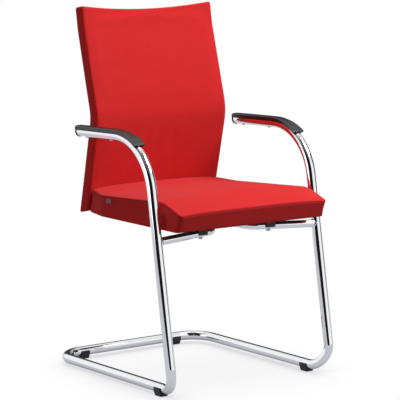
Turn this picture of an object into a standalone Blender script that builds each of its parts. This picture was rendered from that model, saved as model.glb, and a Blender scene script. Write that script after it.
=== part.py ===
"""Conference chair: chromed cantilever tube frame, black armpads, upholstered seat and back.

Metres, +Z up. The chair faces -Y and stands on the floor at z = 0, centred on the Z axis.
Run with: blender --background --python part.py
"""
import math

import bmesh
import bpy
from mathutils import Matrix, Vector

# Fits shared by every piece
CLEARANCE = 0.0003             # gap between pieces that touch
CUT_OVERRUN = 0.004            # how far a cutter runs past what it cuts
HOLE_CLEARANCE = 0.0004        # round a shank, on the radius

# Frame tube, along its centre line
FRAME_TUBE_DIAMETER = 0.025
FRAME_TUBE_WALL = 0.0025
TUBE_FLOOR_GAP = 0.007         # underside of the runners above the floor
ARM_HALF_SPREAD = 0.2526       # middle plane to arm and leg
RUNNER_HALF_SPREAD = 0.234     # middle plane to runner
FRONT_CORNER_Y = -0.2742       # where the leg's line meets the runner's
REAR_CROSSBAR_Y = 0.276
ARM_LINE_HEIGHT = 0.6393       # where the arm's line meets the leg's
ARM_REAR_Y = 0.127
LEG_LEAN = math.radians(9.87)
ARM_FALL = math.radians(1.35)
ARM_CURVE_RADIUS = 0.151
FRONT_BEND_RADIUS = 0.052
REAR_BEND_RADIUS = 0.070
FRAME_TUBE_SIDES = 16
ARM_CURVE_STEPS = 9
FRONT_BEND_STEPS = 7
REAR_BEND_STEPS = 6

# Sleeve inside the rear crossbar
SLEEVE_WALL = 0.002
SLEEVE_LENGTH = 0.080
SLEEVE_SIDES = 12

# Seat bearers, welded to the legs
BEARER_DIAMETER = 0.020
BEARER_WALL = 0.002
BEARER_LEG_DROP = 0.026        # below the seat's base where it meets the leg
BEARER_TURN_X = 0.055
BEARER_TURN_Y = -0.186
BEARER_TURN_DROP = 0.018       # the same from its turn on
BEARER_TURN_RADIUS = 0.035
BEARER_REAR_Y = 0.112
BEARER_TURN_STEPS = 6
BEARER_SIDES = 14
PLUG_DEPTH = 0.010
PLUG_FLANGE = 0.002

# Glides clipped round the runners and the crossbar
GLIDE_LENGTH = 0.024
GLIDE_WALL = 0.0028
GLIDE_FOOT_WIDTH = 0.020
GLIDE_WRAP = math.radians(12.0)      # how far the cheeks rise past the tube's middle
GLIDE_STEPS = 8
GLIDE_EDGE_RADIUS = 0.0008
FRONT_GLIDE_Y = -0.199
REAR_GLIDE_X = 0.151

# Armpads
PAD_TOP_THICKNESS = 0.0041     # over the top of the tube
PAD_REAR_THICKNESS = 0.0036
PAD_FRONT_THICKNESS = 0.0041
PAD_HALF_WIDTH = 0.0148
PAD_FLARE_HALF_WIDTH = 0.0185  # at the front end
PAD_LIP_RISE = 0.0049          # lower edge of the lips above the tube's middle
PAD_FLARE_LIP_RISE = 0.0073    # the same at the front end
PAD_LIP_WALL = 0.0022
PAD_END_WALL = 0.0050          # the hook that closes the tube's end
PAD_HOOK_RIM = 0.0016          # the hook past the tube's underside
PAD_TIP_LEAD = 0.002           # the top edge runs ahead of the lips at the tip
PAD_CURVE_SHARE = 0.445        # how much of the arm curve the pad covers
PAD_FLARE_SHARE = 0.34         # part of the pad's length over which it flares
PAD_REAR_EASE_SHARE = 0.22     # part of its length over which the rear thickens
PAD_END_FACE_SHARE = 0.86      # size of the hook's outer face, rounded off
PAD_STRAIGHT_STEPS = 5
PAD_STEPS_PER_BEND_STEP = 2    # rings of the pad for each ring of the tube on the arm curve
# Outside of the pad's section, as shares of its half width and of its height over the lips
PAD_SECTION_SHARES = ((1.0, 0.25), (1.0, 0.58), (0.90, 0.82), (0.68, 0.94), (0.36, 0.99), (0.0, 1.0))
# The same at the tip, where the sides thin out under the flared top
PAD_TIP_SECTION_SHARES = ((0.96, 0.68), (1.0, 0.82), (0.94, 0.93), (0.70, 0.98), (0.36, 1.0), (0.0, 1.0))

# Screws, bolts and T-nuts
FASTENER_SIDES = 8
SCREW_HEAD_DIAMETER = 0.008
SCREW_HEAD_HEIGHT = 0.0021
SCREW_SHANK_DIAMETER = 0.004
BOLT_HEAD_DIAMETER = 0.012
BOLT_HEAD_HEIGHT = 0.004
BOLT_SHANK_DIAMETER = 0.006
HEAD_CROWN_SHARE = 0.7         # radius of a head's flat end, of its full radius
HEAD_RIM_SHARE = 0.5           # height where a head reaches its full radius
TNUT_BARREL_DIAMETER = 0.009
TNUT_FLANGE_DIAMETER = 0.020
TNUT_FLANGE_HEIGHT = 0.0015
TNUT_HEIGHT = 0.009
PAD_SCREW_GRIP = 0.0022        # into the pad
PAD_SCREW_REAR_INSET = 0.030   # rear screw from the tube's end
PAD_SCREW_PITCH = 0.110

# Seat, from outside
SEAT_HALF_WIDTH = 0.2275
SEAT_REAR_HALF_WIDTH = 0.203
SEAT_TAPER_Y = 0.070           # where the sides start to draw in
SEAT_REAR_Y = 0.150
SEAT_FRONT_Y = -0.277
SEAT_FRONT_CORNER_RADIUS = 0.022
SEAT_REAR_CORNER_RADIUS = 0.020
SEAT_TAPER_RADIUS = 0.090
SEAT_BASE_HEIGHT = 0.415
SEAT_REAR_THICKNESS = 0.055
SEAT_CREST_THICKNESS = 0.066
SEAT_CREST_Y = -0.185
SEAT_WATERFALL_DROP = 0.026
SEAT_CROWN = 0.010
SEAT_UNDERCUT = 0.019          # front face, crease to base
SEAT_SIDE_DRAW_IN = 0.0025
SEAT_TOP_EDGE_RADIUS = 0.0065
SEAT_BASE_EDGE_RADIUS = 0.004
SEAT_BACK_GAP = 0.0008         # seat cover to back cover
SEAT_TOP_RING_SHARES = (0.90, 0.68, 0.36)
SEAT_EDGE_POINTS = 3           # points along half of the front or rear edge
SEAT_SIDE_POINTS = 5
SEAT_CORNER_STEPS = 3
COVER_THICKNESS = 0.0016
FOAM_CLEARANCE = 0.0013        # seat foam inside its cover
COVER_HEM = 0.018
SEAT_BOARD_THICKNESS = 0.012

# Saddles between the bearers and the seat
SADDLE_LENGTH = 0.030
SADDLE_WIDTH = 0.026
SADDLE_DROP = 0.0035           # cheeks below the bearer's middle
SADDLE_EDGE_RADIUS = 0.0015
FRONT_SADDLE_X = 0.108
REAR_SADDLE_Y = 0.062

# Tag on the left side of the seat
TAG_LENGTH = 0.020
TAG_HEIGHT = 0.012
TAG_THICKNESS = 0.0012
TAG_Y = 0.038
TAG_DROP = 0.0145              # its middle below the seat's top edge
TAG_EDGE_RADIUS = 0.0004

# Back: centre line of its side profile at the side edges, and its section
BACK_BASE_Y = 0.187
BACK_BASE_DROP = 0.011         # below the seat's base
BACK_KINK_Y = 0.130
BACK_KINK_RISE = 0.248         # above the seat's base
BACK_SHOULDER_LEAD = 0.0095    # in front of the top
BACK_SHOULDER_DROP = 0.058     # below the top
BACK_TOP_Y = 0.200
BACK_TOP_RISE = 0.531          # above the seat's base
BACK_KINK_RADIUS = 0.110
BACK_SHOULDER_RADIUS = 0.200
BACK_THICKNESS = 0.037
BACK_BASE_HALF_WIDTH = 0.208
BACK_KINK_HALF_WIDTH = 0.2095
BACK_TOP_HALF_WIDTH = 0.208
BACK_SIDE_RADIUS = 0.0055
BACK_HOLLOW = 0.014            # the middle lies this much behind the side edges
BACK_TOP_DIP = 0.012           # the top edge's middle below its corners
BACK_BASE_RISE = 0.017         # front of the bottom opening above its rear
BACK_TOP_EDGE_RADIUS = 0.006
BACK_TOP_FLAT_SHARE = 0.85     # how much of that radius the top's flat draws in
BACK_KINK_STEPS = 5
BACK_SHOULDER_STEPS = 2
BACK_LOWER_STATIONS = 3
BACK_UPPER_STATIONS = 5
BACK_CORNER_STEPS = 2
BACK_WIDTH_SHARES = (-0.84, -0.6, -0.36, -0.12, 0.12, 0.36, 0.6, 0.84)
SHELL_THICKNESS = 0.009
SHELL_REAR_DEPTH = 0.006       # rear face of the shell behind the centre line
LAYER_TOP_INSET = 0.012        # foams and shell below the cover's top
LAYER_BASE_INSET = 0.020       # and above its rear lower edge

# Brackets from under the seat into the back
BRACKET_X = 0.090
BRACKET_WIDTH = 0.030
BRACKET_THICKNESS = 0.005
BRACKET_FRONT_Y = 0.010
BRACKET_RISE = 0.150           # up inside the back, along it
BRACKET_BEND_RADIUS = 0.012
BRACKET_BEND_STEPS = 4
BRACKET_POCKET_GAP = 0.006     # slot in the rear foam, right through it
BRACKET_SEAT_SCREW_INSET = 0.020
BRACKET_SEAT_SCREW_PITCH = 0.070
BRACKET_BACK_SCREW_INSET = 0.020
BRACKET_BACK_SCREW_PITCH = 0.060
BOARD_SCREW_GRIP = 0.009
SHELL_SCREW_GRIP = 0.006

# Worked out from the sizes above
TUBE_RADIUS = FRAME_TUBE_DIAMETER / 2
TUBE_BORE_RADIUS = TUBE_RADIUS - FRAME_TUBE_WALL
RUNNER_HEIGHT = TUBE_FLOOR_GAP + TUBE_RADIUS
BEARER_RADIUS = BEARER_DIAMETER / 2
BEARER_BORE_RADIUS = BEARER_RADIUS - BEARER_WALL
COVER_INSET = COVER_THICKNESS + CLEARANCE
BOARD_BASE_HEIGHT = SEAT_BASE_HEIGHT + COVER_INSET
BOARD_TOP_HEIGHT = BOARD_BASE_HEIGHT + SEAT_BOARD_THICKNESS
BRACKET_HEIGHT = SEAT_BASE_HEIGHT - CLEARANCE - BRACKET_THICKNESS / 2
BEARER_LEG_HEIGHT = SEAT_BASE_HEIGHT - BEARER_LEG_DROP
BEARER_TURN_HEIGHT = SEAT_BASE_HEIGHT - BEARER_TURN_DROP
SEAT_REAR_HEIGHT = SEAT_BASE_HEIGHT + SEAT_REAR_THICKNESS
SEAT_CREST_HEIGHT = SEAT_BASE_HEIGHT + SEAT_CREST_THICKNESS
BACK_BASE_HEIGHT = SEAT_BASE_HEIGHT - BACK_BASE_DROP
BACK_KINK_HEIGHT = SEAT_BASE_HEIGHT + BACK_KINK_RISE
BACK_TOP_HEIGHT = SEAT_BASE_HEIGHT + BACK_TOP_RISE
BACK_SHOULDER_HEIGHT = BACK_TOP_HEIGHT - BACK_SHOULDER_DROP
BACK_SHOULDER_Y = BACK_TOP_Y - BACK_SHOULDER_LEAD
UP = Vector((0, 0, 1))
SIDES = {"left": -1, "right": 1}

MATERIALS = {
    # name: colour, metallic, roughness
    "chrome": ((0.80, 0.81, 0.83), 1.0, 0.08),
    "zinc_steel": ((0.55, 0.56, 0.58), 1.0, 0.35),
    "black_steel": ((0.03, 0.03, 0.032), 0.4, 0.45),
    "black_plastic": ((0.025, 0.026, 0.028), 0.0, 0.42),
    "pad_plastic": ((0.035, 0.038, 0.041), 0.0, 0.36),
    "red_fabric": ((0.68, 0.035, 0.04), 0.0, 0.85),
    "foam": ((0.82, 0.78, 0.62), 0.0, 0.95),
    "plywood": ((0.60, 0.44, 0.26), 0.0, 0.60),
    "liner_fabric": ((0.02, 0.02, 0.022), 0.0, 0.95),
    "tag_metal": ((0.22, 0.22, 0.24), 0.8, 0.40),
}


# Scene helpers

def clear_scene():
    for item in list(bpy.data.objects):
        bpy.data.objects.remove(item, do_unlink=True)


def get_material(name):
    if name in bpy.data.materials:
        return bpy.data.materials[name]
    colour, metallic, roughness = MATERIALS[name]
    material = bpy.data.materials.new(name)
    material.use_nodes = True
    shader = material.node_tree.nodes["Principled BSDF"]
    shader.inputs["Base Color"].default_value = (*colour, 1.0)
    shader.inputs["Metallic"].default_value = metallic
    shader.inputs["Roughness"].default_value = roughness
    material.diffuse_color = (*colour, 1.0)
    return material


def add_object(name, builder, material):
    """Turns a bmesh into a named, smooth-shaded object with outward faces."""
    bmesh.ops.recalc_face_normals(builder, faces=builder.faces)
    mesh = bpy.data.meshes.new(name)
    builder.to_mesh(mesh)
    builder.free()
    mesh.shade_smooth()
    mesh.set_sharp_from_angle(angle=math.radians(35))
    item = bpy.data.objects.new(name, mesh)
    bpy.context.scene.collection.objects.link(item)
    mesh.materials.append(get_material(material))
    return item


def as_cutter(item):
    """Marks a guide shape for Boolean cuts, left out of the model."""
    item.display_type = "WIRE"
    item.hide_render = True
    return item


def cut_away(item, cutter, use_self=False):
    modifier = item.modifiers.new("cut_by_" + cutter.name, "BOOLEAN")
    modifier.operation = "DIFFERENCE"
    modifier.solver = "EXACT"
    modifier.use_self = use_self
    modifier.object = cutter


def round_edges(item, width, segments=1):
    modifier = item.modifiers.new("rounded_edges", "BEVEL")
    modifier.width = width
    modifier.segments = segments
    modifier.limit_method = "ANGLE"
    modifier.angle_limit = math.radians(40)


# Geometry helpers

def smoothstep(value):
    value = min(1.0, max(0.0, value))
    return value * value * (3 - 2 * value)


def mix(first, last, share):
    return first + (last - first) * share


def between(first, last, count):
    """Points that split a straight line into count + 1 equal parts, without its ends."""
    return [mix(first, last, i / (count + 1)) for i in range(1, count + 1)]


def corner_arc(before, corner, after, radius, steps):
    """Points of the round bend that replaces a corner, from one tangent point to the other."""
    towards_before = (before - corner).normalized()
    towards_after = (after - corner).normalized()
    half_angle = towards_before.angle(towards_after) / 2
    reach = radius / math.tan(half_angle)
    centre = corner + (towards_before + towards_after).normalized() * (radius / math.sin(half_angle))
    spoke = corner + towards_before * reach - centre
    last_spoke = corner + towards_after * reach - centre
    axis = spoke.cross(last_spoke).normalized()
    sweep = math.pi - 2 * half_angle
    return [centre + Matrix.Rotation(sweep * i / steps, 3, axis) @ spoke for i in range(steps + 1)]


def frames_along(points):
    """A tangent and two cross directions at each point, carried along without twist."""
    count = len(points)
    tangents = [(points[min(i + 1, count - 1)] - points[max(i - 1, 0)]).normalized() for i in range(count)]
    across = tangents[0].orthogonal().normalized()
    result = []
    for tangent in tangents:
        across = (across - tangent * across.dot(tangent)).normalized()
        result.append((across, tangent.cross(across)))
    return result


def circle(centre, across, up, radius, sides):
    angles = [2 * math.pi * k / sides for k in range(sides)]
    return [centre + (across * math.cos(a) + up * math.sin(a)) * radius for a in angles]


def add_ring(builder, points):
    return [builder.verts.new(point) for point in points]


def bridge(builder, first, second):
    """Quads between two closed rings with as many points each."""
    for k in range(len(first)):
        following = (k + 1) % len(first)
        builder.faces.new((first[k], first[following], second[following], second[k]))


def bridge_all(builder, rings):
    for first, second in zip(rings, rings[1:]):
        bridge(builder, first, second)


def cap_with_strips(builder, ring):
    """Closes a ring whose point k lies opposite point -1 - k."""
    for k in range(len(ring) // 2 - 1):
        builder.faces.new((ring[k], ring[k + 1], ring[-2 - k], ring[-1 - k]))


def hollow_tube(name, points, radius, bore_radius, sides, material):
    builder = bmesh.new()
    outside = []
    inside = []
    for point, (across, up) in zip(points, frames_along(points)):
        outside.append(add_ring(builder, circle(point, across, up, radius, sides)))
        inside.append(add_ring(builder, circle(point, across, up, bore_radius, sides)))
    bridge_all(builder, outside)
    bridge_all(builder, inside)
    bridge(builder, outside[0], inside[0])
    bridge(builder, outside[-1], inside[-1])
    return add_object(name, builder, material)


def solid_loft(name, rings, material):
    """A closed solid through rings, its two ends closed by strips."""
    builder = bmesh.new()
    placed = [add_ring(builder, ring) for ring in rings]
    bridge_all(builder, placed)
    cap_with_strips(builder, placed[0])
    cap_with_strips(builder, placed[-1])
    return add_object(name, builder, material)


def open_shell(name, outer_rings, inner_rings, material):
    """A walled solid, open at its first ring and closed by strips at its last."""
    builder = bmesh.new()
    outside = [add_ring(builder, ring) for ring in outer_rings]
    inside = [add_ring(builder, ring) for ring in inner_rings]
    bridge_all(builder, outside)
    bridge_all(builder, inside)
    bridge(builder, outside[0], inside[0])
    cap_with_strips(builder, outside[-1])
    cap_with_strips(builder, inside[-1])
    return add_object(name, builder, material)


def turned_rings(builder, profile, base, direction, sides):
    direction = direction.normalized()
    across = direction.orthogonal().normalized()
    up = direction.cross(across)
    return [add_ring(builder, circle(base + direction * height, across, up, radius, sides))
            for radius, height in profile]


def turned_solid(name, profile, base, direction, sides, material):
    """Revolves (radius, height) pairs about a line from base; both ends close on flat discs."""
    builder = bmesh.new()
    rings = turned_rings(builder, profile, base, direction, sides)
    bridge_all(builder, rings)
    builder.faces.new(rings[0])
    builder.faces.new(rings[-1])
    return add_object(name, builder, material)


def turned_collar(name, profile, base, direction, sides, material):
    """Revolves a closed loop of (radius, height) pairs into a solid with a bore."""
    builder = bmesh.new()
    rings = turned_rings(builder, profile, base, direction, sides)
    bridge_all(builder, rings + rings[:1])
    return add_object(name, builder, material)


def extruded_outline(name, outline, shift, material):
    """A prism from a flat outline of points, extruded by a vector."""
    builder = bmesh.new()
    near = add_ring(builder, outline)
    far = add_ring(builder, [point + shift for point in outline])
    bridge(builder, near, far)
    ends = [builder.faces.new(near), builder.faces.new(far)]
    bmesh.ops.triangulate(builder, faces=ends)
    return add_object(name, builder, material)


def block(name, centre, size, material):
    builder = bmesh.new()
    bmesh.ops.create_cube(builder, size=1)
    for vert in builder.verts:
        vert.co = centre + Vector((vert.co.x * size.x, vert.co.y * size.y, vert.co.z * size.z))
    return add_object(name, builder, material)


def cylinder_cutter(name, base, direction, radius, length):
    return as_cutter(turned_solid(name, ((radius, 0), (radius, length)), base, direction,
                                  FASTENER_SIDES, "black_steel"))


# Fasteners

def headed_fastener(name, seat, direction, head_diameter, head_height, shank_diameter, shank_length):
    """A screw or bolt whose head's bearing face is at seat; its shank runs along direction."""
    head = head_diameter / 2
    shank = shank_diameter / 2
    profile = ((head * HEAD_CROWN_SHARE, 0), (head, head_height * HEAD_RIM_SHARE), (head, head_height),
               (shank, head_height), (shank, head_height + shank_length))
    base = seat - direction.normalized() * head_height
    return turned_solid(name, profile, base, direction, FASTENER_SIDES, "zinc_steel")


def make_screw(name, seat, direction, shank_length):
    return headed_fastener(name, seat, direction, SCREW_HEAD_DIAMETER, SCREW_HEAD_HEIGHT,
                           SCREW_SHANK_DIAMETER, shank_length)


def shank_cutter(name, seat, direction, shank_diameter, shank_length):
    """A cutter for the hole round a shank, from outside the head's bearing face to past its tip."""
    way = direction.normalized()
    return cylinder_cutter(name, seat - way * CUT_OVERRUN, way, shank_diameter / 2 + HOLE_CLEARANCE,
                           CUT_OVERRUN + shank_length + CLEARANCE)


# Frame

def leg_point(side, height):
    y = FRONT_CORNER_Y + math.tan(LEG_LEAN) * (height - RUNNER_HEIGHT)
    return Vector((side * ARM_HALF_SPREAD, y, height))


def arm_corner(side):
    """Where the leg's straight line meets the arm's."""
    return leg_point(side, ARM_LINE_HEIGHT)


def arm_end(side):
    corner = arm_corner(side)
    drop = math.tan(ARM_FALL) * (ARM_REAR_Y - corner.y)
    return Vector((corner.x, ARM_REAR_Y, ARM_LINE_HEIGHT - drop))


def arm_curve(side, steps):
    return corner_arc(arm_end(side), arm_corner(side), leg_point(side, RUNNER_HEIGHT),
                      ARM_CURVE_RADIUS, steps)


def frame_path(side):
    """Arm, arm curve, leg, front bend that also draws inwards, runner, rear bend, half crossbar."""
    leg_foot = leg_point(side, RUNNER_HEIGHT)
    behind = Vector((leg_foot.x, REAR_CROSSBAR_Y, RUNNER_HEIGHT))
    points = [arm_end(side)]
    points += arm_curve(side, ARM_CURVE_STEPS)
    bend = corner_arc(arm_corner(side), leg_foot, behind, FRONT_BEND_RADIUS, FRONT_BEND_STEPS)
    for i, point in enumerate(bend):
        spread = mix(ARM_HALF_SPREAD, RUNNER_HALF_SPREAD, smoothstep(i / FRONT_BEND_STEPS))
        points.append(Vector((side * spread, point.y, point.z)))
    rear_corner = Vector((side * RUNNER_HALF_SPREAD, REAR_CROSSBAR_Y, RUNNER_HEIGHT))
    crossbar_end = Vector((side * CLEARANCE / 2, REAR_CROSSBAR_Y, RUNNER_HEIGHT))
    points += corner_arc(points[-1], rear_corner, crossbar_end, REAR_BEND_RADIUS, REAR_BEND_STEPS)
    points.append(crossbar_end)
    return points


def make_frame_tube(label, side):
    return hollow_tube("frame_tube_" + label, frame_path(side), TUBE_RADIUS, TUBE_BORE_RADIUS,
                       FRAME_TUBE_SIDES, "chrome")


def make_joint_sleeve():
    """The spigot that joins the two halves inside the crossbar."""
    outer = TUBE_BORE_RADIUS * math.cos(math.pi / FRAME_TUBE_SIDES) - CLEARANCE
    ends = [Vector((side * SLEEVE_LENGTH / 2, REAR_CROSSBAR_Y, RUNNER_HEIGHT)) for side in (-1, 1)]
    hollow_tube("frame_joint_sleeve", ends, outer, outer - SLEEVE_WALL, SLEEVE_SIDES, "zinc_steel")


# Seat bearers

def bearer_path(side):
    start = leg_point(side, BEARER_LEG_HEIGHT)
    corner = Vector((side * BEARER_TURN_X, BEARER_TURN_Y, BEARER_TURN_HEIGHT))
    rear = Vector((side * BEARER_TURN_X, BEARER_REAR_Y, BEARER_TURN_HEIGHT))
    bend = corner_arc(start, corner, rear, BEARER_TURN_RADIUS, BEARER_TURN_STEPS)
    return [start] + bend + [rear]


def bearer_at_front_saddle(side):
    """A point on the bearer's slanting front stretch, and the way that it runs."""
    start = leg_point(side, BEARER_LEG_HEIGHT)
    corner = Vector((side * BEARER_TURN_X, BEARER_TURN_Y, BEARER_TURN_HEIGHT))
    share = (ARM_HALF_SPREAD - FRONT_SADDLE_X) / (ARM_HALF_SPREAD - BEARER_TURN_X)
    return start.lerp(corner, share), (corner - start).normalized()


def bearer_at_rear_saddle(side):
    return Vector((side * BEARER_TURN_X, REAR_SADDLE_Y, BEARER_TURN_HEIGHT)), Vector((0, 1, 0))


def make_bearer(label, side):
    """A bent tube, coped to fit the leg that it is welded to."""
    bearer = hollow_tube("seat_bearer_" + label, bearer_path(side), BEARER_RADIUS,
                         BEARER_BORE_RADIUS, BEARER_SIDES, "chrome")
    low = leg_point(side, BEARER_LEG_HEIGHT - FRAME_TUBE_DIAMETER)
    high = leg_point(side, BEARER_LEG_HEIGHT + FRAME_TUBE_DIAMETER)
    radius = TUBE_RADIUS + CLEARANCE
    cope = turned_solid("leg_cope_" + label, ((radius, 0), (radius, (high - low).length)), low, high - low,
                        FRAME_TUBE_SIDES * 2, "black_steel")
    cut_away(bearer, as_cutter(cope))
    return bearer


def make_bearer_plug(label, side):
    """A flanged black plug in the bearer's open rear end."""
    stem = BEARER_BORE_RADIUS * math.cos(math.pi / BEARER_SIDES) - CLEARANCE
    base = Vector((side * BEARER_TURN_X, BEARER_REAR_Y - PLUG_DEPTH, BEARER_TURN_HEIGHT))
    seat = PLUG_DEPTH + CLEARANCE
    profile = ((stem, 0), (stem, seat), (BEARER_RADIUS, seat), (BEARER_RADIUS, seat + PLUG_FLANGE / 2),
               (stem, seat + PLUG_FLANGE))
    turned_solid("bearer_plug_" + label, profile, base, Vector((0, 1, 0)), BEARER_SIDES, "black_plastic")


# Glides

def glide_section():
    """A saddle round the tube's underside on a flat foot: (sideways, height) about the tube's middle."""
    groove = TUBE_RADIUS + CLEARANCE
    outer = groove + GLIDE_WALL
    sweep = math.pi + 2 * GLIDE_WRAP
    points = []
    for i in range(GLIDE_STEPS * 2 + 1):
        angle = GLIDE_WRAP - sweep * i / (GLIDE_STEPS * 2)
        points.append((groove * math.cos(angle), groove * math.sin(angle)))
    right = [(outer * math.cos(GLIDE_WRAP), outer * math.sin(GLIDE_WRAP)), (outer, 0), (outer, -groove / 2),
             (GLIDE_FOOT_WIDTH / 2, -RUNNER_HEIGHT)]
    left = [(-x, z) for x, z in right]
    return points + left + right[::-1]


def make_glide(name, centre, along):
    across = along.cross(UP)
    outline = [centre - along * GLIDE_LENGTH / 2 + across * x + UP * z for x, z in glide_section()]
    glide = extruded_outline(name, outline, along * GLIDE_LENGTH, "black_plastic")
    round_edges(glide, GLIDE_EDGE_RADIUS)


def make_glides():
    for label, side in SIDES.items():
        make_glide("glide_front_" + label, Vector((side * RUNNER_HALF_SPREAD, FRONT_GLIDE_Y, RUNNER_HEIGHT)),
                   Vector((0, 1, 0)))
        make_glide("glide_rear_" + label, Vector((side * REAR_GLIDE_X, REAR_CROSSBAR_Y, RUNNER_HEIGHT)),
                   Vector((1, 0, 0)))


# Armpads

def outward_from(run):
    """The way from the arm's centre line to the pad's top, square to the way that the arm runs."""
    return run.cross(Vector((1, 0, 0))).normalized()


def pad_stations(side):
    """Points on the arm's centre line under the pad, each with its outward direction and a share."""
    end = arm_end(side)
    steps = ARM_CURVE_STEPS * PAD_STEPS_PER_BEND_STEP
    curve = corner_arc(end, arm_corner(side), leg_point(side, RUNNER_HEIGHT), ARM_CURVE_RADIUS, steps)
    count = round(PAD_CURVE_SHARE * steps)
    points = [end] + between(end, curve[0], PAD_STRAIGHT_STEPS - 1) + curve[:count + 1]
    lengths = [0.0]
    for first, second in zip(points, points[1:]):
        lengths.append(lengths[-1] + (second - first).length)
    stations = []
    for i, point in enumerate(points):
        behind = points[i - 1] if i else point - (points[1] - point)
        ahead = points[i + 1] if i + 1 < len(points) else point + (point - behind)
        run = (ahead - behind).normalized()
        stations.append((point, run, outward_from(run), lengths[i] / lengths[-1]))
    return stations


def pad_section(share):
    """Left half of the pad's outside at a share of its length, lip first: (sideways, outward)."""
    flare = smoothstep((share - 1 + PAD_FLARE_SHARE) / PAD_FLARE_SHARE)
    rear = smoothstep(share / PAD_REAR_EASE_SHARE)
    half_width = mix(PAD_HALF_WIDTH, PAD_FLARE_HALF_WIDTH, flare)
    lip = mix(PAD_LIP_RISE, PAD_FLARE_LIP_RISE, flare)
    thickness = mix(mix(PAD_REAR_THICKNESS, PAD_TOP_THICKNESS, rear), PAD_FRONT_THICKNESS, flare)
    height = TUBE_RADIUS + thickness - lip
    groove = TUBE_RADIUS + CLEARANCE
    lip_angle = math.asin(lip / groove)
    half = [(groove * math.cos(lip_angle) + PAD_LIP_WALL, lip)]
    for along, tip in zip(PAD_SECTION_SHARES, PAD_TIP_SECTION_SHARES):
        half.append((half_width * mix(along[0], tip[0], flare), lip + height * mix(along[1], tip[1], flare)))
    return half, lip_angle


def pad_ring(station, groove_below=False, shift=0.0, shrink=1.0, tip_lead=0.0):
    """A ring of the pad: its outside from left lip to right lip, then the groove back to the left.

    With groove_below the ring runs round the tube's underside instead, for the hook.
    """
    point, run, outward, share = station
    half, lip_angle = pad_section(share)
    outside = [(-x, z) for x, z in half] + [(x, z) for x, z in half[-2::-1]]
    groove = TUBE_RADIUS + CLEARANCE
    if groove_below:
        groove = TUBE_RADIUS + PAD_HOOK_RIM
        sweep = -(math.pi + 2 * lip_angle)
    else:
        sweep = math.pi - 2 * lip_angle
    inside = []
    for i in range(len(outside)):
        angle = lip_angle + sweep * i / (len(outside) - 1)
        inside.append((groove * math.cos(angle), groove * math.sin(angle)))
    lip = half[0][1]
    top = half[-1][1]
    ring = []
    for x, z in outside + inside:
        lead = tip_lead * (z - lip) / (top - lip)
        place = point + run * (shift + lead)
        ring.append(place + Vector((x, 0, 0)) * shrink + outward * z * shrink)
    return ring


def make_armpad(label, side):
    stations = pad_stations(side)
    rear = stations[0]
    wall = PAD_END_WALL
    rings = [
        pad_ring(rear, True, -wall - CLEARANCE, shrink=PAD_END_FACE_SHARE),
        pad_ring(rear, True, -wall / 2),
        pad_ring(rear, True, -CLEARANCE * 2),
        pad_ring(rear, False, -CLEARANCE),
    ]
    rings += [pad_ring(station) for station in stations[:-1]]
    rings.append(pad_ring(stations[-1], tip_lead=PAD_TIP_LEAD))
    return solid_loft("armpad_" + label, rings, "pad_plastic")


def fasten_armpad(label, side, pad, tube):
    """Two screws a side, up through the arm tube into the pad."""
    end = arm_end(side)
    run = (arm_corner(side) - end).normalized()
    outward = outward_from(run)
    length = TUBE_RADIUS * 2 + CLEARANCE * 2 + PAD_SCREW_GRIP
    places = (("rear", PAD_SCREW_REAR_INSET), ("front", PAD_SCREW_REAR_INSET + PAD_SCREW_PITCH))
    for place, distance in places:
        seat = end + run * distance - outward * (TUBE_RADIUS + CLEARANCE)
        name = "armpad_screw_" + label + "_" + place
        make_screw(name, seat, outward, length)
        cutter = shank_cutter("hole_" + name, seat, outward, SCREW_SHANK_DIAMETER, length)
        cut_away(tube, cutter)
        cut_away(pad, cutter)


# Back surfaces

def back_profile():
    """The centre line of the back's side edge, base to top, as points in the middle plane."""
    base = Vector((0, BACK_BASE_Y, BACK_BASE_HEIGHT))
    kink = Vector((0, BACK_KINK_Y, BACK_KINK_HEIGHT))
    shoulder = Vector((0, BACK_SHOULDER_Y, BACK_SHOULDER_HEIGHT))
    top = Vector((0, BACK_TOP_Y, BACK_TOP_HEIGHT))
    points = [base]
    points += corner_arc(base, kink, shoulder, BACK_KINK_RADIUS, BACK_KINK_STEPS)
    points += corner_arc(kink, shoulder, top, BACK_SHOULDER_RADIUS, BACK_SHOULDER_STEPS)
    points.append(top)
    return points


def path_length(points):
    return sum((second - first).length for first, second in zip(points, points[1:]))


def rearward(direction):
    return Vector((0, direction.z, -direction.y)).normalized()


def back_line(distance):
    """Point and rearward normal at a distance up the centre line."""
    points = back_profile()
    normals = []
    for i in range(len(points)):
        ahead = points[min(i + 1, len(points) - 1)]
        behind = points[max(i - 1, 0)]
        normals.append(rearward(ahead - behind))
    normals[0] = rearward(points[1] - points[0])
    normals[1] = normals[0]
    run = 0.0
    for i in range(len(points) - 1):
        span = (points[i + 1] - points[i]).length
        if run + span >= distance or i == len(points) - 2:
            share = (distance - run) / span
            return points[i].lerp(points[i + 1], share), mix(normals[i], normals[i + 1], share).normalized()
        run += span


BACK_LENGTH = path_length(back_profile())
BACK_KINK_DISTANCE = math.hypot(BACK_KINK_Y - BACK_BASE_Y, BACK_KINK_HEIGHT - BACK_BASE_HEIGHT)


def back_half_width(distance):
    if distance < BACK_KINK_DISTANCE:
        return mix(BACK_BASE_HALF_WIDTH, BACK_KINK_HALF_WIDTH, smoothstep(distance / BACK_KINK_DISTANCE))
    share = (distance - BACK_KINK_DISTANCE) / (BACK_LENGTH - BACK_KINK_DISTANCE)
    return mix(BACK_KINK_HALF_WIDTH, BACK_TOP_HALF_WIDTH, smoothstep(share))


def back_hollow(x):
    return BACK_HOLLOW * (1 - (x / BACK_KINK_HALF_WIDTH) ** 2)


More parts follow.
